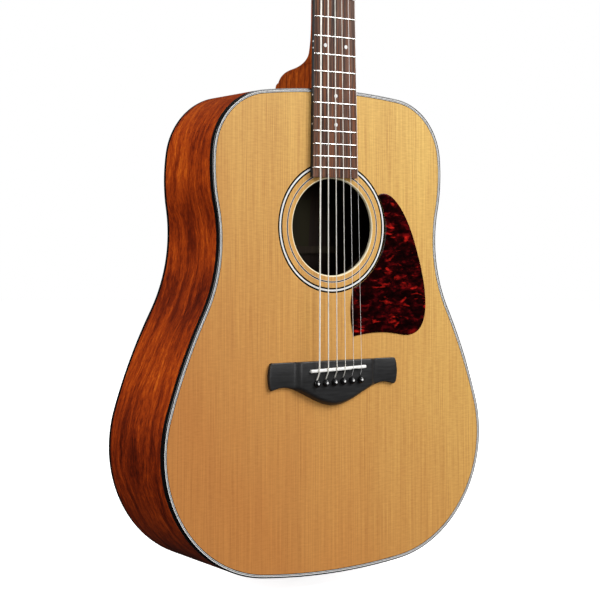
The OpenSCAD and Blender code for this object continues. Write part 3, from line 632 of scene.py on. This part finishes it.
def build_edges():
    back_h = BINDING_H - 1
    outer = [(0, blended(BINDING_H, back_h, k / 12)) for k in range(13)]
    verts, faces, grain = edge_ring(outer + [(-SIDE_T, behind(back_h)), (-SIDE_T, BINDING_H)])
    piece("sides_wood", verts, faces, "mahogany", replaces=["sides"], grain=grain)
    front = [(0, BINDING_H), (0, 0.6), (-0.18, 0.18), (-0.6, 0), (-BINDING_T, 0),
             (-BINDING_T, BINDING_H)]
    piece("front_binding_strip", *edge_ring(front)[:2], "black_binding",
          replaces=["front_binding"])
    back = [(0, behind(back_h)), (0, behind(0.8)), (-0.22, behind(0.22)), (-0.8, behind(0)),
            (-BINDING_T, behind(0)), (-BINDING_T, behind(back_h))]
    piece("back_binding_strip", *edge_ring(back)[:2], "black_binding", replaces=["back_binding"])
    for node, lines, slot in (("purfling_white", WHITE_LINES, "white_purfling"),
                              ("purfling_black", BLACK_LINES, "black_binding")):
        parts = []
        for start, end in lines:
            near, far = -BINDING_T - start, -BINDING_T - end
            parts.append(edge_ring([(near, 0), (far, 0), (far, 1.5), (near, 1.5)])[:2])
        piece(node + "_lines", *merged(parts), slot, replaces=[node])


def build_back():
    """Two book-matched plates on the dome, as one sheet with its thickness."""
    middle_z = -620
    shares = [k / 30 for k in range(30, 0, -1)] + [0.0002]
    rings, grain = [], []
    for offset, share in [(0, s) for s in shares] + [(BACK_T, s) for s in shares[::-1]]:
        ring = []
        for x, z, nx, nz, _ in LOOP:
            px = share * (x - BINDING_T * nx)
            pz = middle_z + share * (z - BINDING_T * nz - middle_z)
            ring.append((px, back_y(px, pz) - offset, pz))
            grain.append((abs(px), offset, pz))
        rings.append(ring)
    count, half = len(LOOP), len(shares)
    # Painted shade: the inner faces take the darkened bare wood.
    inner = {index: 1 for index in range(half * count, (2 * half - 1) * count)}
    piece("back_wood", *loft(rings, closed=True), "mahogany", replaces=["back_plate"],
          grain=grain, material="back_mahogany", materials=["bare_back_painted_shade"], face_material=inner)


def build_soundboard():
    """The top, with a softly rounded soundhole edge in paler wood."""
    edge = BINDING_T + PURFLING_W
    outer = [(x - edge * nx, z - edge * nz) for x, z, nx, nz, _ in LOOP]
    angles = [math.atan2(z - HOLE_Z, x) for x, z in outer]

    def hole(radius):
        return [(radius * math.cos(a), HOLE_Z + radius * math.sin(a)) for a in angles]

    def between(share):
        return [(a[0] + share * (b[0] - a[0]), a[1] + share * (b[1] - a[1]))
                for a, b in zip(outer, hole(HOLE_R + RIM_R))]

    flat = [(between(k / 8), 0) for k in range(9)]
    rim = [(hole(HOLE_R + RIM_R * (1 - math.sin(a))), RIM_R * (1 - math.cos(a)))
           for a in (math.radians(d) for d in (22.5, 45, 67.5, 90))]
    under = [(hole(HOLE_R), TOP_T), (between(0.5), TOP_T), (outer, TOP_T)]
    rows = flat + rim + under
    verts, faces = loft([[(x, y, z) for x, z in row] for row, y in rows], closed=True)
    count = len(outer)
    first, last = len(flat) - 1, len(flat) + len(rim)
    rim_faces = {index: 1 for index in range(first * count, last * count)}
    piece("soundboard_wood", verts, faces, "spruce_top", replaces=["soundboard"],
          materials=["spruce_rim"], face_material=rim_faces)


def build_rosette():
    proud, sunk = -0.03, 0.8
    for node, slot, spans in (
            ("rosette_white", "white_purfling", [(57.2, 57.5), (58.7, 59), (66.1, 68)]),
            ("rosette_black", "black_binding", [(57.5, 58.7), (64.4, 66.1), (68, 69.8)])):
        parts = []
        for r0, r1 in spans:
            profile = [(r0, sunk), (r0, proud), (r1, proud), (r1, sunk)]
            rings = [[(r * c, y, HOLE_Z + r * s) for r, y in profile] for c, s in circle(1, 240)]
            parts.append(loft(rings, closed=True))
        piece(node + "_rings", *merged(parts), slot, replaces=[node])


def build_pickguard():
    arc = [(70 * math.cos(math.radians(a)), HOLE_Z - SADDLE_Z + 70 * math.sin(math.radians(a)))
           for a in range(-68, 31, 2)]
    curves = [[(60.2, 177), (76, 186), (97, 164), (110.5, 126)],
              [(110.5, 126), (121, 97), (129, 66), (124, 45)],
              [(124, 45), (120, 27), (107, 23), (92, 25.3)],
              [(92, 25.3), (72, 29), (58, 30.5), (27, 25.5)],
              [(27, 25.5), (22, 42), (21.5, 60), (26.2, 76.8)]]
    outline = arc + [p for c in curves for p in bezier_points(c, 20)][:-1]
    piece("pickguard_plate", *plate([(x, z + SADDLE_Z) for x, z in outline], -1.2, 0.02, 0.7),
          "tortoise", replaces=["pickguard"])


def build_tail():
    """End pin and the strip over the seam of the two sides."""
    def at_pin(p):
        return (p[0], 62 + p[1], BODY_BOTTOM + p[2])
    profile = [(0.01, 10), (4.9, 10), (5, 1), (5, 0), (6.7, 0), (7, -0.3), (7, -1.1), (6.6, -1.6),
               (5.2, -2.4), (4.6, -3.4), (4.5, -5), (4.5, -8), (4.9, -9.6), (5.8, -10.9),
               (6.2, -12), (6.1, -13.2), (5.4, -14.3), (4, -15), (2, -15.35), (0.01, -15.4)]
    piece("end_pin_turned", *revolve(profile, at_pin, 48), "black_plastic",
          replaces=["end_pin"])
    tail = sorted(p[:2] for p in LOOP if p[1] < BODY_BOTTOM + 40 and abs(p[0]) < 40)
    rings = []
    for k in range(9):
        x = -8 + 2 * k
        z = float(np.interp(x, *zip(*tail)))
        y1 = back_y(x, z) - (BINDING_H - 1)
        rings.append([(x, BINDING_H, z - 0.03), (x, y1, z - 0.03), (x, y1, z + 0.8),
                      (x, BINDING_H, z + 0.8)])
    piece("tail_graft_strip", *loft(rings), "black_binding", replaces=["tail_graft"])


# ---- bridge
def string_share(k):
    return (k - 2.5) / 5


def string_x(k, depth):
    spread = NUT_SPREAD + (SADDLE_SPREAD - NUT_SPREAD) * depth / SCALE
    return STRING_SHIFT * depth / SCALE + string_share(k) * spread


def pin_x(k):
    return STRING_SHIFT + string_share(k) * PIN_SPREAD


def saddle_line(x):
    return SADDLE_Z - 7.5 + 0.032 * x


def pin_z(k):
    return saddle_line(pin_x(k)) - 13.4


def crown_drop(x):
    return x * x / (2 * CROWN_R)


def build_bridge():
    """Lofted across: thin wings, a ramp up to the centre block, and a chamfered lower edge."""
    wide = 83
    tip_z = -13
    top_x, top_z = curve_table([[(0, 1.2), (30, 1.2), (60, 1.2), (78.5, 1.2)],
                                [(78.5, 1.2), (81, 1.2), (82.2, -1.5), (wide, tip_z)]])
    low_x, low_z = curve_table([[(0, -46), (16, -46), (30, -36.5), (46, -29.5)],
                                [(46, -29.5), (58, -24.5), (64, -22.6), (78, -26.9)],
                                [(78, -26.9), (80.8, -27.8), (82.4, -25), (wide, tip_z)]])

    def height(x):
        wing = 3.6 + 0.5 * clamped((60 - x) / 10)
        return wing + (BRIDGE_H - wing) * eased((53 - x) / 9)

    sections = []
    marks = [(wide - 0.02) * math.sin(math.pi / 2 * k / 110) for k in range(111)]
    for x in sorted([-m for m in marks[1:]] + marks):
        a = abs(x)
        h = height(a)
        hi = float(np.interp(a, top_x, top_z))
        lo = float(np.interp(a, low_x, low_z))
        room = (hi - lo) / 2
        chamfer = min(1 + 4.6 * clamped((58 - a) / 14), room * 0.9)
        foot = min(2.2, h * 0.6)
        r = min(0.9, room * 0.8)
        lower = [(lo, 0), (lo, -foot)]
        for k in range(1, 7):
            t = k / 6
            lower.append((lo + chamfer * t ** 1.25, -foot - (h - foot) * (1 - (1 - t) ** 1.7)))
        upper = [(hi - r + r * math.sin(math.radians(d)), -h + r * (1 - math.cos(math.radians(d))))
                 for d in (0, 30, 60, 90)]
        sections.append([(x, y, SADDLE_Z + z) for z, y in lower + upper + [(hi, 0)]])
    bridge = piece("bridge_block", *loft(sections), "ebony", replaces=["bridge"], sharp=40)
    slot_r, slot_end = 0.95, 4.8
    cutters = []
    for k in range(6):
        ring = [(pin_x(k) + a, pin_z(k) + b + (slot_end - slot_r if b > 0 else 0))
                for a, b in circle(slot_r, 16)]
        cutters.append(loft([[(x, y, z) for x, z in ring]
                             for y in (-BRIDGE_H - 2, -BRIDGE_H + 6)]))
    cut(bridge, *merged(cutters))


def cut(target, verts, faces):
    """Takes a closed shape away from a piece."""
    mesh = new_mesh("cutter", verts, faces)
    bm = bmesh.new()
    bm.from_mesh(mesh)
    bmesh.ops.recalc_face_normals(bm, faces=bm.faces)
    bm.to_mesh(mesh)
    bm.free()
    cutter = linked("cutter", mesh)
    modifier = target.modifiers.new("cut", "BOOLEAN")
    modifier.operation = "DIFFERENCE"
    modifier.solver = "EXACT"
    modifier.object = cutter
    bpy.context.view_layer.objects.active = target
    with bpy.context.temp_override(object=target, active_object=target):
        bpy.ops.object.modifier_apply(modifier="cut")
    bpy.data.objects.remove(cutter)
    bpy.data.meshes.remove(mesh)


def build_saddle():
    length, thick, slope, middle = 72, 3.3, 0.032, 0.6
    half = length / 2
    sections = []
    for k in range(97):
        u = -half + length * (0.5 - 0.5 * math.cos(math.pi * k / 96))
        end = max(half - abs(u), 0.02)
        w = thick / 2 * math.sqrt(max(1 - max(1 - end / 1.3, 0) ** 2, 0.0004))
        x = middle + u
        top = -SADDLE_H + crown_drop(x) + 0.9 * (1 - min(end / 1.3, 1)) ** 2
        notch = 1 if 15.5 < x < 24.5 else 0
        shape = [(w, -BRIDGE_H + 4), (w, top + 1), (w * 0.86, top + 0.42), (w * 0.5, top + 0.1),
                 (0, top), (-w * 0.5, top + 0.1 + notch * 0.1), (-w * 0.86 + notch * 0.5, top + 0.42),
                 (-w + notch, top + 1), (-w + notch, -BRIDGE_H + 4)]
        sections.append([(x, y, saddle_line(middle) + slope * u + v) for v, y in shape])
    piece("saddle_bone", *loft(sections), "bone", replaces=["saddle"])


def build_pins():
    pins, dots = [], []
    profile = [(0.01, -22), (2, -21.6), (2.5, -20), (2.5, 0.3), (3.3, 0.5), (3.75, 1),
               (3.85, 1.5), (3.7, 2.2), (3.1, 3.1), (2.2, 3.75), (1.55, 3.95), (0.01, 3.95)]
    dot = [(1.2, 3.5), (1.2, 4), (1.05, 4.08), (0.6, 4.14), (0.01, 4.15)]
    for k in range(6):
        def at_pin(p):
            return (pin_x(k) + p[0], -BRIDGE_H - p[2], pin_z(k) + p[1])
        pins.append(revolve(profile, at_pin, 32))
        dots.append(revolve(dot, at_pin, 24))
    piece("bridge_pins_turned", *merged(pins), "black_plastic", replaces=["bridge_pins"])
    piece("bridge_pin_dots", *merged(dots), "white_purfling", replaces=["pin_dots"])


# ---- neck
def fret_depth(n):
    return SCALE * (1 - 2 ** (-n / 12))


BOARD_SLOPE = (JOINT_W - NUT_W) / fret_depth(14)


def board_w(z):
    return NUT_W - BOARD_SLOPE * z


def crown_y(x):
    return -BOARD_T + crown_drop(x)


def head_to_world(p):
    c, s = math.cos(HEAD_ANGLE), math.sin(HEAD_ANGLE)
    return (p[0], p[1] * c + p[2] * s, SHELF_Z - p[1] * s + p[2] * c)


HEEL_Y = 90
# The heel's half width at each depth
HEEL_TABLE = curve_table([[(0, board_w(-292) / 2 - 0.2), (16, 26.6), (26, 19), (50, 16.5)],
                          [(50, 16.5), (66, 15.3), (80, 14), (94, 11.5)]])


def half_round(power, count=48):
    """Half a superellipse of unit size, from its +X end round the back to its -X end."""
    for j in range(count + 1):
        c, s = math.cos(math.pi * j / count), abs(math.sin(math.pi * j / count))
        yield math.copysign(abs(c) ** (2 / power), c), s ** (2 / power)


def neck_ring(z, depth):
    """The neck's section at a depth of its back: round on the shaft, boxy in the heel."""
    ratio = (board_w(z) / 2 - 0.2) / HEEL_TABLE[1][0]
    ring = []
    for x, y in half_round(2 + 8 * eased((depth - 26) / 58)):
        half = ratio * float(np.interp(y * depth, *HEEL_TABLE))
        ring.append((x * half, min(y * depth, HEEL_Y), z))
    return ring


def heel_profile():
    """Depth and height along the back line, from the heel's foot to the shaft."""
    foot = [(93, 286.5), (93, 289), (93, 291), (93, 293)]
    return (foot + bezier_points([(93, 293), (93, 308), (78, 313.2), (60, 314.5)], 24)
            + bezier_points([(60, 314.5), (32, 316.5), (15.5, 326), (14, 358)], 30))


def head_table():
    """The headstock's half width at each height."""
    rise = curve_table([[(2, NUT_W / 2 - 0.2), (12, 24), (14, 34), (24, 37.5)]])
    fall = curve_table([[(150, 34.5), (164, 33.5), (166, 24), (172, 0)]], 40)
    return [-8] + rise[0] + fall[0], [NUT_W / 2 - 0.2] + rise[1] + fall[1]


HEAD_TABLE = head_table()


def head_width(z):
    return float(np.interp(z, *HEAD_TABLE))


def head_ring(z):
    """The headstock's section: round where it leaves the neck, square further up."""
    grow = eased(z / 26)
    half = max(head_width(z), 0.3)
    depth = NECK_END_D + (HEAD_T - NECK_END_D) * clamped(z / 26)
    return [head_to_world((x * half, y * depth, z)) for x, y in half_round(2 + 10 * grow)]


def build_neck():
    rings = [neck_ring(SADDLE_Z + above, depth) for depth, above in heel_profile()]
    start = SADDLE_Z + 358
    for k in range(1, 25):
        rings.append(neck_ring(start + (-4 - start) * k / 24, 14 + (NECK_END_D - 14) * k / 24))
    rings.append(head_ring(0))
    piece("neck_wood", *loft(rings), "neck_mahogany", replaces=["neck"], sharp=50)
    heights = [0] + [0.5 + 26 * k / 26 for k in range(27)] + [30 + 4 * k for k in range(30)]
    heights += [150 + 22 * math.sin(math.pi / 2 * k / 30) for k in range(1, 31)]
    piece("headstock_wood", *loft([head_ring(z) for z in heights]), "neck_mahogany",
          replaces=["headstock"], sharp=50)
    outline = mirrored([(head_width(z), z) for z in [0.15, 1] + heights[3:]])
    piece("headstock_face", *plate(outline, -VENEER_T, 0, 0.5, head_to_world), "ebony",
          replaces=["headstock_veneer"], material="head_ebony")
    crest = [(11.6, 298), (11.4, 303.5), (6, 305.5), (0, 305.5)]
    cap = [(11.6, 288.5), (11.6, 298)] + bezier_points(crest, 12)
    outline = mirrored([(x, SADDLE_Z + z) for x, z in cap])
    piece("heel_cap_plate", *plate(outline, 93, HEEL_Y - 0.5, 0.6), "black_binding",
          replaces=["heel_cap"], material="neck_mahogany")


def build_fretboard():
    """The board as a crowned loft whose long edges are softly rounded."""
    edge = 0.5
    rings = []
    for z in np.linspace(0, BOARD_END, 60):
        half = board_w(z) / 2
        ring = [(half, 0, z), (half, crown_y(half) + edge, z),
                (half - 0.15, crown_y(half) + 0.15, z)]
        flanks = [(-x, y, z) for x, y, z in ring[::-1]]
        face = [half * (1 - k / 12) * (half - edge) / half for k in range(25)]
        ring += [(x, crown_y(x), z) for x in face] + flanks
        rings.append(ring)
    count = len(rings[0])
    # Painted shade: the bass-side bevel and side faces get the near-black ebony material, so that
    # side looks shaded.
    bass_painted_shade = {j * count + k: 1 for j in range(len(rings) - 1) for k in (count - 3, count - 2)}
    piece("fretboard_wood", *loft(rings), "rosewood", replaces=["fretboard"], sharp=60,
          materials=["ebony"], face_material=bass_painted_shade)


def build_frets():
    """Domed wire with filed ends, and the tangs' ends flush with the board's sides."""
    parts = []
    crown = [(-0.85, 0), (-0.8, 0.35), (-0.62, 0.72), (-0.34, 0.94), (0, 1), (0.34, 0.94),
             (0.62, 0.72), (0.8, 0.35), (0.85, 0), (0, -0.3)]
    for n in range(1, FRETS + 1):
        z0 = -fret_depth(n)
        half = board_w(z0) / 2 - 0.05
        rings = []
        stops = [(-1, 0.25), (-0.985, 0.75), (-0.965, 1)]
        shares = stops + [(t, 1) for t in np.linspace(-0.9, 0.9, 15)]
        shares += [(-a, b) for a, b in stops[::-1]]
        for share, tall in shares:
            x = share * half
            rings.append([(x, crown_y(x) - h * tall, z0 + w) for w, h in crown])
        parts.append(loft(rings))
        for side in (-1, 1):
            x = side * board_w(z0) / 2
            ring = [(0.28, -3.9), (0.28, -5.2), (-0.28, -5.2), (-0.28, -3.9)]
            parts.append(loft([[(x + side * d, y, z0 + w) for w, y in ring] for d in (-1, 0.03)]))
    piece("fret_wires", *merged(parts), "fret_wire", replaces=["frets"], sharp=60)


def dot(radius, place):
    proud = 0.04
    profile = [(radius, -0.6), (radius, proud * 0.5), (radius - 0.12, proud), (0.01, proud)]
    return revolve(profile, place, 28)


def build_dots():
    parts = []
    single = [3, 5, 7, 9, 15, 17]

    def middle(n):
        return -(fret_depth(n) + fret_depth(n - 1)) / 2

    for x, n in [(0, n) for n in single] + [(-13.4, 12), (13.4, 12)]:
        z = middle(n)
        parts.append(dot(2.1, lambda p: (x + p[0], crown_y(x + p[0]) - p[2], z + p[1])))
    for shift, n in [(0, n) for n in single] + [(-3.4, 12), (3.4, 12)]:
        z = middle(n) + shift
        x = -board_w(z) / 2
        parts.append(dot(0.9, lambda p: (x - p[2], -2.6 + p[0], z + p[1])))
    piece("board_dots", *merged(parts), "white_purfling", replaces=["position_dots"])


def string_y_nut(k):
    return -NUT_H + crown_drop(string_x(k, 0)) - STRING_R[k]


def build_nut():
    """Bone nut: crowned, rounded towards the headstock, with a groove for each string."""
    half = NUT_W / 2
    sections = []
    for j in range(61):
        x = -half + NUT_W * j / 60
        end = min(half - abs(x), 0.8) / 0.8
        top = -NUT_H - 0.3 + crown_drop(x) + 0.5 * (1 - end) ** 2
        shape = [(0, 0), (0, top + 0.25), (0.25, top), (1.6, top + 0.1), (3.2, top + 0.5),
                 (4.4, top + 1.3), (5, top + 2.4), (5, 0)]
        sections.append([(x, y, z) for z, y in shape])
    nut = piece("nut_bone", *loft(sections), "bone", replaces=["nut"], sharp=40)
    grooves = []
    for k in range(6):
        r = STRING_R[k] + 0.05
        x, y = string_x(k, 0), string_y_nut(k)
        ring = [(x + r * math.cos(a), y + r * math.sin(a)) for a in
                (math.pi * j / 8 for j in range(9))] + [(x - r, y - 3), (x + r, y - 3)]
        grooves.append(loft([[(px, py, z) for px, py in ring] for z in (-1, 7)]))
    cut(nut, *merged(grooves))


# ---- tuners and strings
def tuner_side(k):
    return -1 if k < 3 else 1


def post_at(k):
    row = k if k < 3 else 5 - k
    return tuner_side(k) * TUNER_X[row], TUNER_Z[row]


def at_tuner(k):
    """Maps a point at a tuner, with +x outwards from the centre line, to the model frame."""
    x, z = post_at(k)
    return lambda p: head_to_world((x + tuner_side(k) * p[0], p[1], z + p[2]))


def on_post(k):
    place = at_tuner(k)
    return lambda p: place((p[0], -p[2], p[1]))


def on_shaft(k):
    place = at_tuner(k)
    return lambda p: place((p[2], 19 + p[0], 9 + p[1]))


def build_tuners():
    housings, bushings, screws = [], [], []
    head = [(2.3, 0), (2.3, 0.5), (1.9, 0.95), (1.1, 1.25), (0.01, 1.3)]
    collar = [(4.6, 9), (4.6, 15.6), (4.3, 16.5), (3.6, 17), (2.1, 17)]
    washer = [(4.9, -6), (4.9, 1.9), (7.6, 2), (7.6, 2.7), (7.3, 3), (4, 3), (4, 3.2)]
    for k in range(6):
        place = at_tuner(k)
        housings += [
            plate(rounded_box(21, 23, 4), 25, HEAD_T, 2.2,
                  lambda p: place((p[0] + 1.5, p[1], p[2] + 3.5)), 6),
            plate(rounded_box(8, 14, 3.9), HEAD_T + 2, HEAD_T, 0.5,
                  lambda p: place((p[0], p[1], p[2] - 12))),
            revolve(collar, on_shaft(k))]
        bushings += [revolve(washer, on_post(k), 40),
                     plate(circle(6.6, 6), -5.6, -2.9, 0.5, place)]
        screws.append(revolve(head, lambda p: place((p[0], HEAD_T + 2 + p[2], p[1] - 13))))
    head = [(1.7, 0), (1.7, 0.4), (1.4, 0.8), (0.8, 1.1), (0.01, 1.15)]
    for x, z in ((-9.3, 8), (9.3, 8), (0, 33)):
        screws.append(revolve(head, lambda p: head_to_world(
            (x + p[0], -VENEER_T - 1.6 - p[2], z + p[1]))))
    piece("tuner_cases", *merged(housings), "chrome", replaces=["tuner_housings"])
    piece("tuner_nuts", *merged(bushings), "chrome", replaces=["tuner_bushings"])
    piece("screw_heads", *merged(screws), "chrome", replaces=["headstock_screws"])
    for k in range(6):
        build_button(k)
        build_post(k)


def build_button(k):
    """A plump oval button on its collar."""
    place = on_shaft(k)
    rings = []
    for j in range(25):
        t = math.pi * (j / 24 - 0.5)
        out = 28.4 + 7.5 * math.sin(t)
        size = max(abs(math.cos(t)), 0.02) ** 0.72
        rings.append([place((3.6 * math.copysign(abs(c) ** 0.75, c) * size ** 0.6,
                             10.1 * math.copysign(abs(s) ** 0.85, s) * size, out))
                      for c, s in circle(1, 40)])
    collar = [(2, 17.5), (3.3, 17.5), (3.6, 17.9), (3.6, 20.5), (3.2, 21.6), (3.2, 23)]
    piece(f"button_{k + 1}_oval", *merged([loft(rings), revolve(collar, place)]), "chrome",
          body=f"tuner_{k + 1}", replaces=[f"button_{k + 1}"])


def build_post(k):
    """The post with its waist and string hole, and the string's turns round it."""
    place = on_post(k)
    profile = [(0.01, -15), (3, -15), (3, 6.2), (2.85, 6.7), (2.6, 7), (2.6, 13), (2.8, 13.7),
               (3, 14), (3, 18.3), (2.8, 18.9), (2.3, 19.3), (0.01, 19.4)]
    post = piece(f"post_{k + 1}_turned", *revolve(profile, place, 40), "chrome",
                 body=f"post_{k + 1}", replaces=[f"post_{k + 1}"])
    cut(post, *loft([[place((x, u, v)) for u, v in circle(0.8, 20, 0, 12.4)] for x in (-5, 5)]))
    r = STRING_R[k]
    pitch, wrap_r = 2 * r + 0.02, 2.62 + r
    turns = (3 if k < 3 else 5) - 0.15
    steps = round(turns * 36)
    path = []
    for j in range(steps + 1):
        a = math.pi + 2 * math.pi * turns * j / steps
        path.append(place((wrap_r * math.cos(a), wrap_r * math.sin(a),
                           7.5 + r + pitch * turns * j / steps)))
    slot = "bronze_string" if k < 4 else "steel_string"
    piece(f"string_{k + 1}_turns", *tube(path, r), slot, body=f"post_{k + 1}", sharp=60)


def string_path(k):
    """From the bridge plate through the slot, over the saddle and the nut, to the post."""
    r = STRING_R[k]
    xs, px = string_x(k, SCALE), pin_x(k)
    saddle_y = -SADDLE_H + crown_drop(xs) - r - 0.03
    slot_z = pin_z(k) + 4.8 - r - 0.35
    side, wrap = tuner_side(k), 2.64 + r
    x, z = post_at(k)
    near = math.sqrt((wrap + 2 * r + 0.1) ** 2 - wrap ** 2)
    end = head_to_world((x - side * wrap, -7.5 - r, z - near))
    return [(px, TOP_T + 2.4, slot_z), (px, -BRIDGE_H + 0.9, slot_z),
            (px, -BRIDGE_H - r - 0.2, slot_z + 0.4), (xs, saddle_y, saddle_line(xs) - 1.2),
            (xs, saddle_y, saddle_line(xs) + 0.4),
            (string_x(k, 0), string_y_nut(k), 0), (string_x(k, 0), string_y_nut(k), 2.6),
            (string_x(k, 0), string_y_nut(k) + 0.05, SHELF_Z + 0.3), end]


def soft_path(points, bend=0.35, steps=4):
    """Rounds the corners of a path over a short length on both sides."""
    p = [Vector(v) for v in points]
    out = [p[0]]
    for a, b, c in zip(p, p[1:], p[2:]):
        reach_in = min(bend, (b - a).length / 2.5)
        reach_out = min(bend, (c - b).length / 2.5)
        start = b + (a - b).normalized() * reach_in
        end = b + (c - b).normalized() * reach_out
        for j in range(steps + 1):
            t = j / steps
            out.append((1 - t) ** 2 * start + 2 * t * (1 - t) * b + t * t * end)
    out.append(p[-1])
    return out


def build_strings():
    groups = [("wound_strings", range(4), "bronze_string"),
              ("plain_strings", range(4, 6), "steel_string")]
    for node, members, slot in groups:
        parts = [tube(soft_path(string_path(k)), STRING_R[k] * STRING_SWELL, 12) for k in members]
        piece(node + "_wire", *merged(parts), slot, replaces=[node], sharp=60)


def build_cover():
    outline = mirrored([(12, 3), (12.5, 8), (10, 15), (5, 24), (4, 32), (2.5, 36), (0, 36.4)])
    smooth = []
    for a, b in zip(outline, outline[1:] + outline[:1]):
        smooth += [tuple(np.array(a) * (1 - t) + np.array(b) * t) for t in (0.15, 0.5, 0.85)]
    piece("truss_cover_plate", *plate(smooth, -VENEER_T - 1.6, -VENEER_T, 0.5, head_to_world),
          "black_plastic", replaces=["truss_cover"])


def build_label():
    """A blank paper label on the inside of the back, seen through the soundhole."""
    width, height, rows = 86, 62, 12
    rings = []
    for j in range(rows + 1):
        z = HOLE_Z + 2 - height / 2 + height * j / rows
        xs = [-width / 2 + width * i / rows for i in range(rows + 1)]
        line = [(x, back_y(x, z) - BACK_T - 0.25, z) for x in xs]
        rings.append(line + [(x, y + 0.2, z) for x, y, z in line[::-1]])
    piece("inner_label", *loft(rings), "spruce_brace", material="paper")


# ---- carried-over CAD nodes
def dress_cad_nodes():
    """Gives every node that is still shown its procedural material."""
    for row in frame["record"]["subparts"]:
        node = frame["nodes"][row["node"]]
        if node.hide_render:
            continue
        slot = row["material_slot"]
        node.data.materials.clear()
        node.data.materials.append(MATERIALS[slot])


# ---- stage
def build_stage():
    floor_z = cad_box[0].z - 0.0005
    mesh = bpy.data.meshes.new("floor")
    ring = [(x, y, floor_z) for x, y in circle(9, 96)]
    mesh.from_pydata(ring, [], [tuple(range(len(ring)))])
    floor = linked("floor", mesh)
    s = Shader("pale_floor", Roughness=0.9)
    s.colour((0.82, 0.82, 0.82))
    s.feed(s.surface.inputs["Emission Color"], (1, 1, 1))
    s.feed(s.surface.inputs["Emission Strength"], 0.88)
    mesh.materials.append(MATERIALS["pale_floor"])
    floor.visible_diffuse = False
    floor.visible_glossy = False


def area_light(name, at, towards, size, power):
    data = bpy.data.lights.new(name, "AREA")
    data.shape = "RECTANGLE"
    data.size, data.size_y = size
    data.energy = power
    lamp = linked(name, data)
    lamp.location = at
    lamp.rotation_euler = (Vector(towards) - Vector(at)).to_track_quat("-Z", "Y").to_euler()


def build_light():
    middle = (0, 0.05, -0.6)
    area_light("key", (1.5, -1.7, 1), middle, (1.5, 1.5), 84)
    area_light("front", (-0.3, -3.2, -0.1), middle, (1.2, 1.2), 30)
    area_light("side", (-2.3, 0.35, 0.5), (-0.15, 0.06, -0.6), (1, 1.6), 56)
    area_light("rear", (2.6, 1.3, -0.2), middle, (1.2, 1.8), 60)
    world = bpy.data.worlds.new("studio")
    bpy.context.scene.world = world
    nodes = Nodes(world)

    def background(strength, rgb=(1, 1, 1)):
        inputs = {"Color": rgb, "Strength": strength}
        return nodes.node("ShaderNodeBackground", inputs).outputs[0]

    def choose(chosen, no, yes):
        return nodes.node("ShaderNodeMixShader", {0: chosen, 1: no, 2: yes}).outputs[0]

    ray = nodes.node("ShaderNodeLightPath").outputs
    up = nodes.split(nodes.node("ShaderNodeTexCoord").outputs["Generated"])[2]
    reflected = background(nodes.level(up, 0.25, 0.9, 0.015, 0.12))
    unseen = choose(ray["Is Glossy Ray"], background(0.16, (1, 0.98, 0.95)), reflected)
    whole = choose(ray["Is Camera Ray"], unseen, background(1))
    nodes.node("ShaderNodeOutputWorld", {"Surface": whole})
    bpy.context.scene.view_settings.view_transform = "Standard"


def build_camera():
    data = bpy.data.cameras.new("camera")
    data.sensor_width = 36
    data.lens = CAMERA_LENS
    data.shift_x, data.shift_y = CAMERA_SHIFT
    camera = linked("camera", data)
    a, e = math.radians(CAMERA_AZIMUTH), math.radians(CAMERA_RISE)
    ahead = Vector((math.sin(a) * math.cos(e), math.cos(a) * math.cos(e), math.sin(e)))
    camera.location = CAMERA_AT
    camera.rotation_euler = ahead.to_track_quat("-Z", "Y").to_euler()
    bpy.context.scene.camera = camera


build_camera()
build_edges()
build_back()
build_soundboard()
build_rosette()
build_pickguard()
build_tail()
build_bridge()
build_saddle()
build_pins()
build_neck()
build_fretboard()
build_frets()
build_dots()
build_nut()
build_cover()
build_tuners()
build_strings()
build_label()
dress_cad_nodes()
build_stage()
build_light()
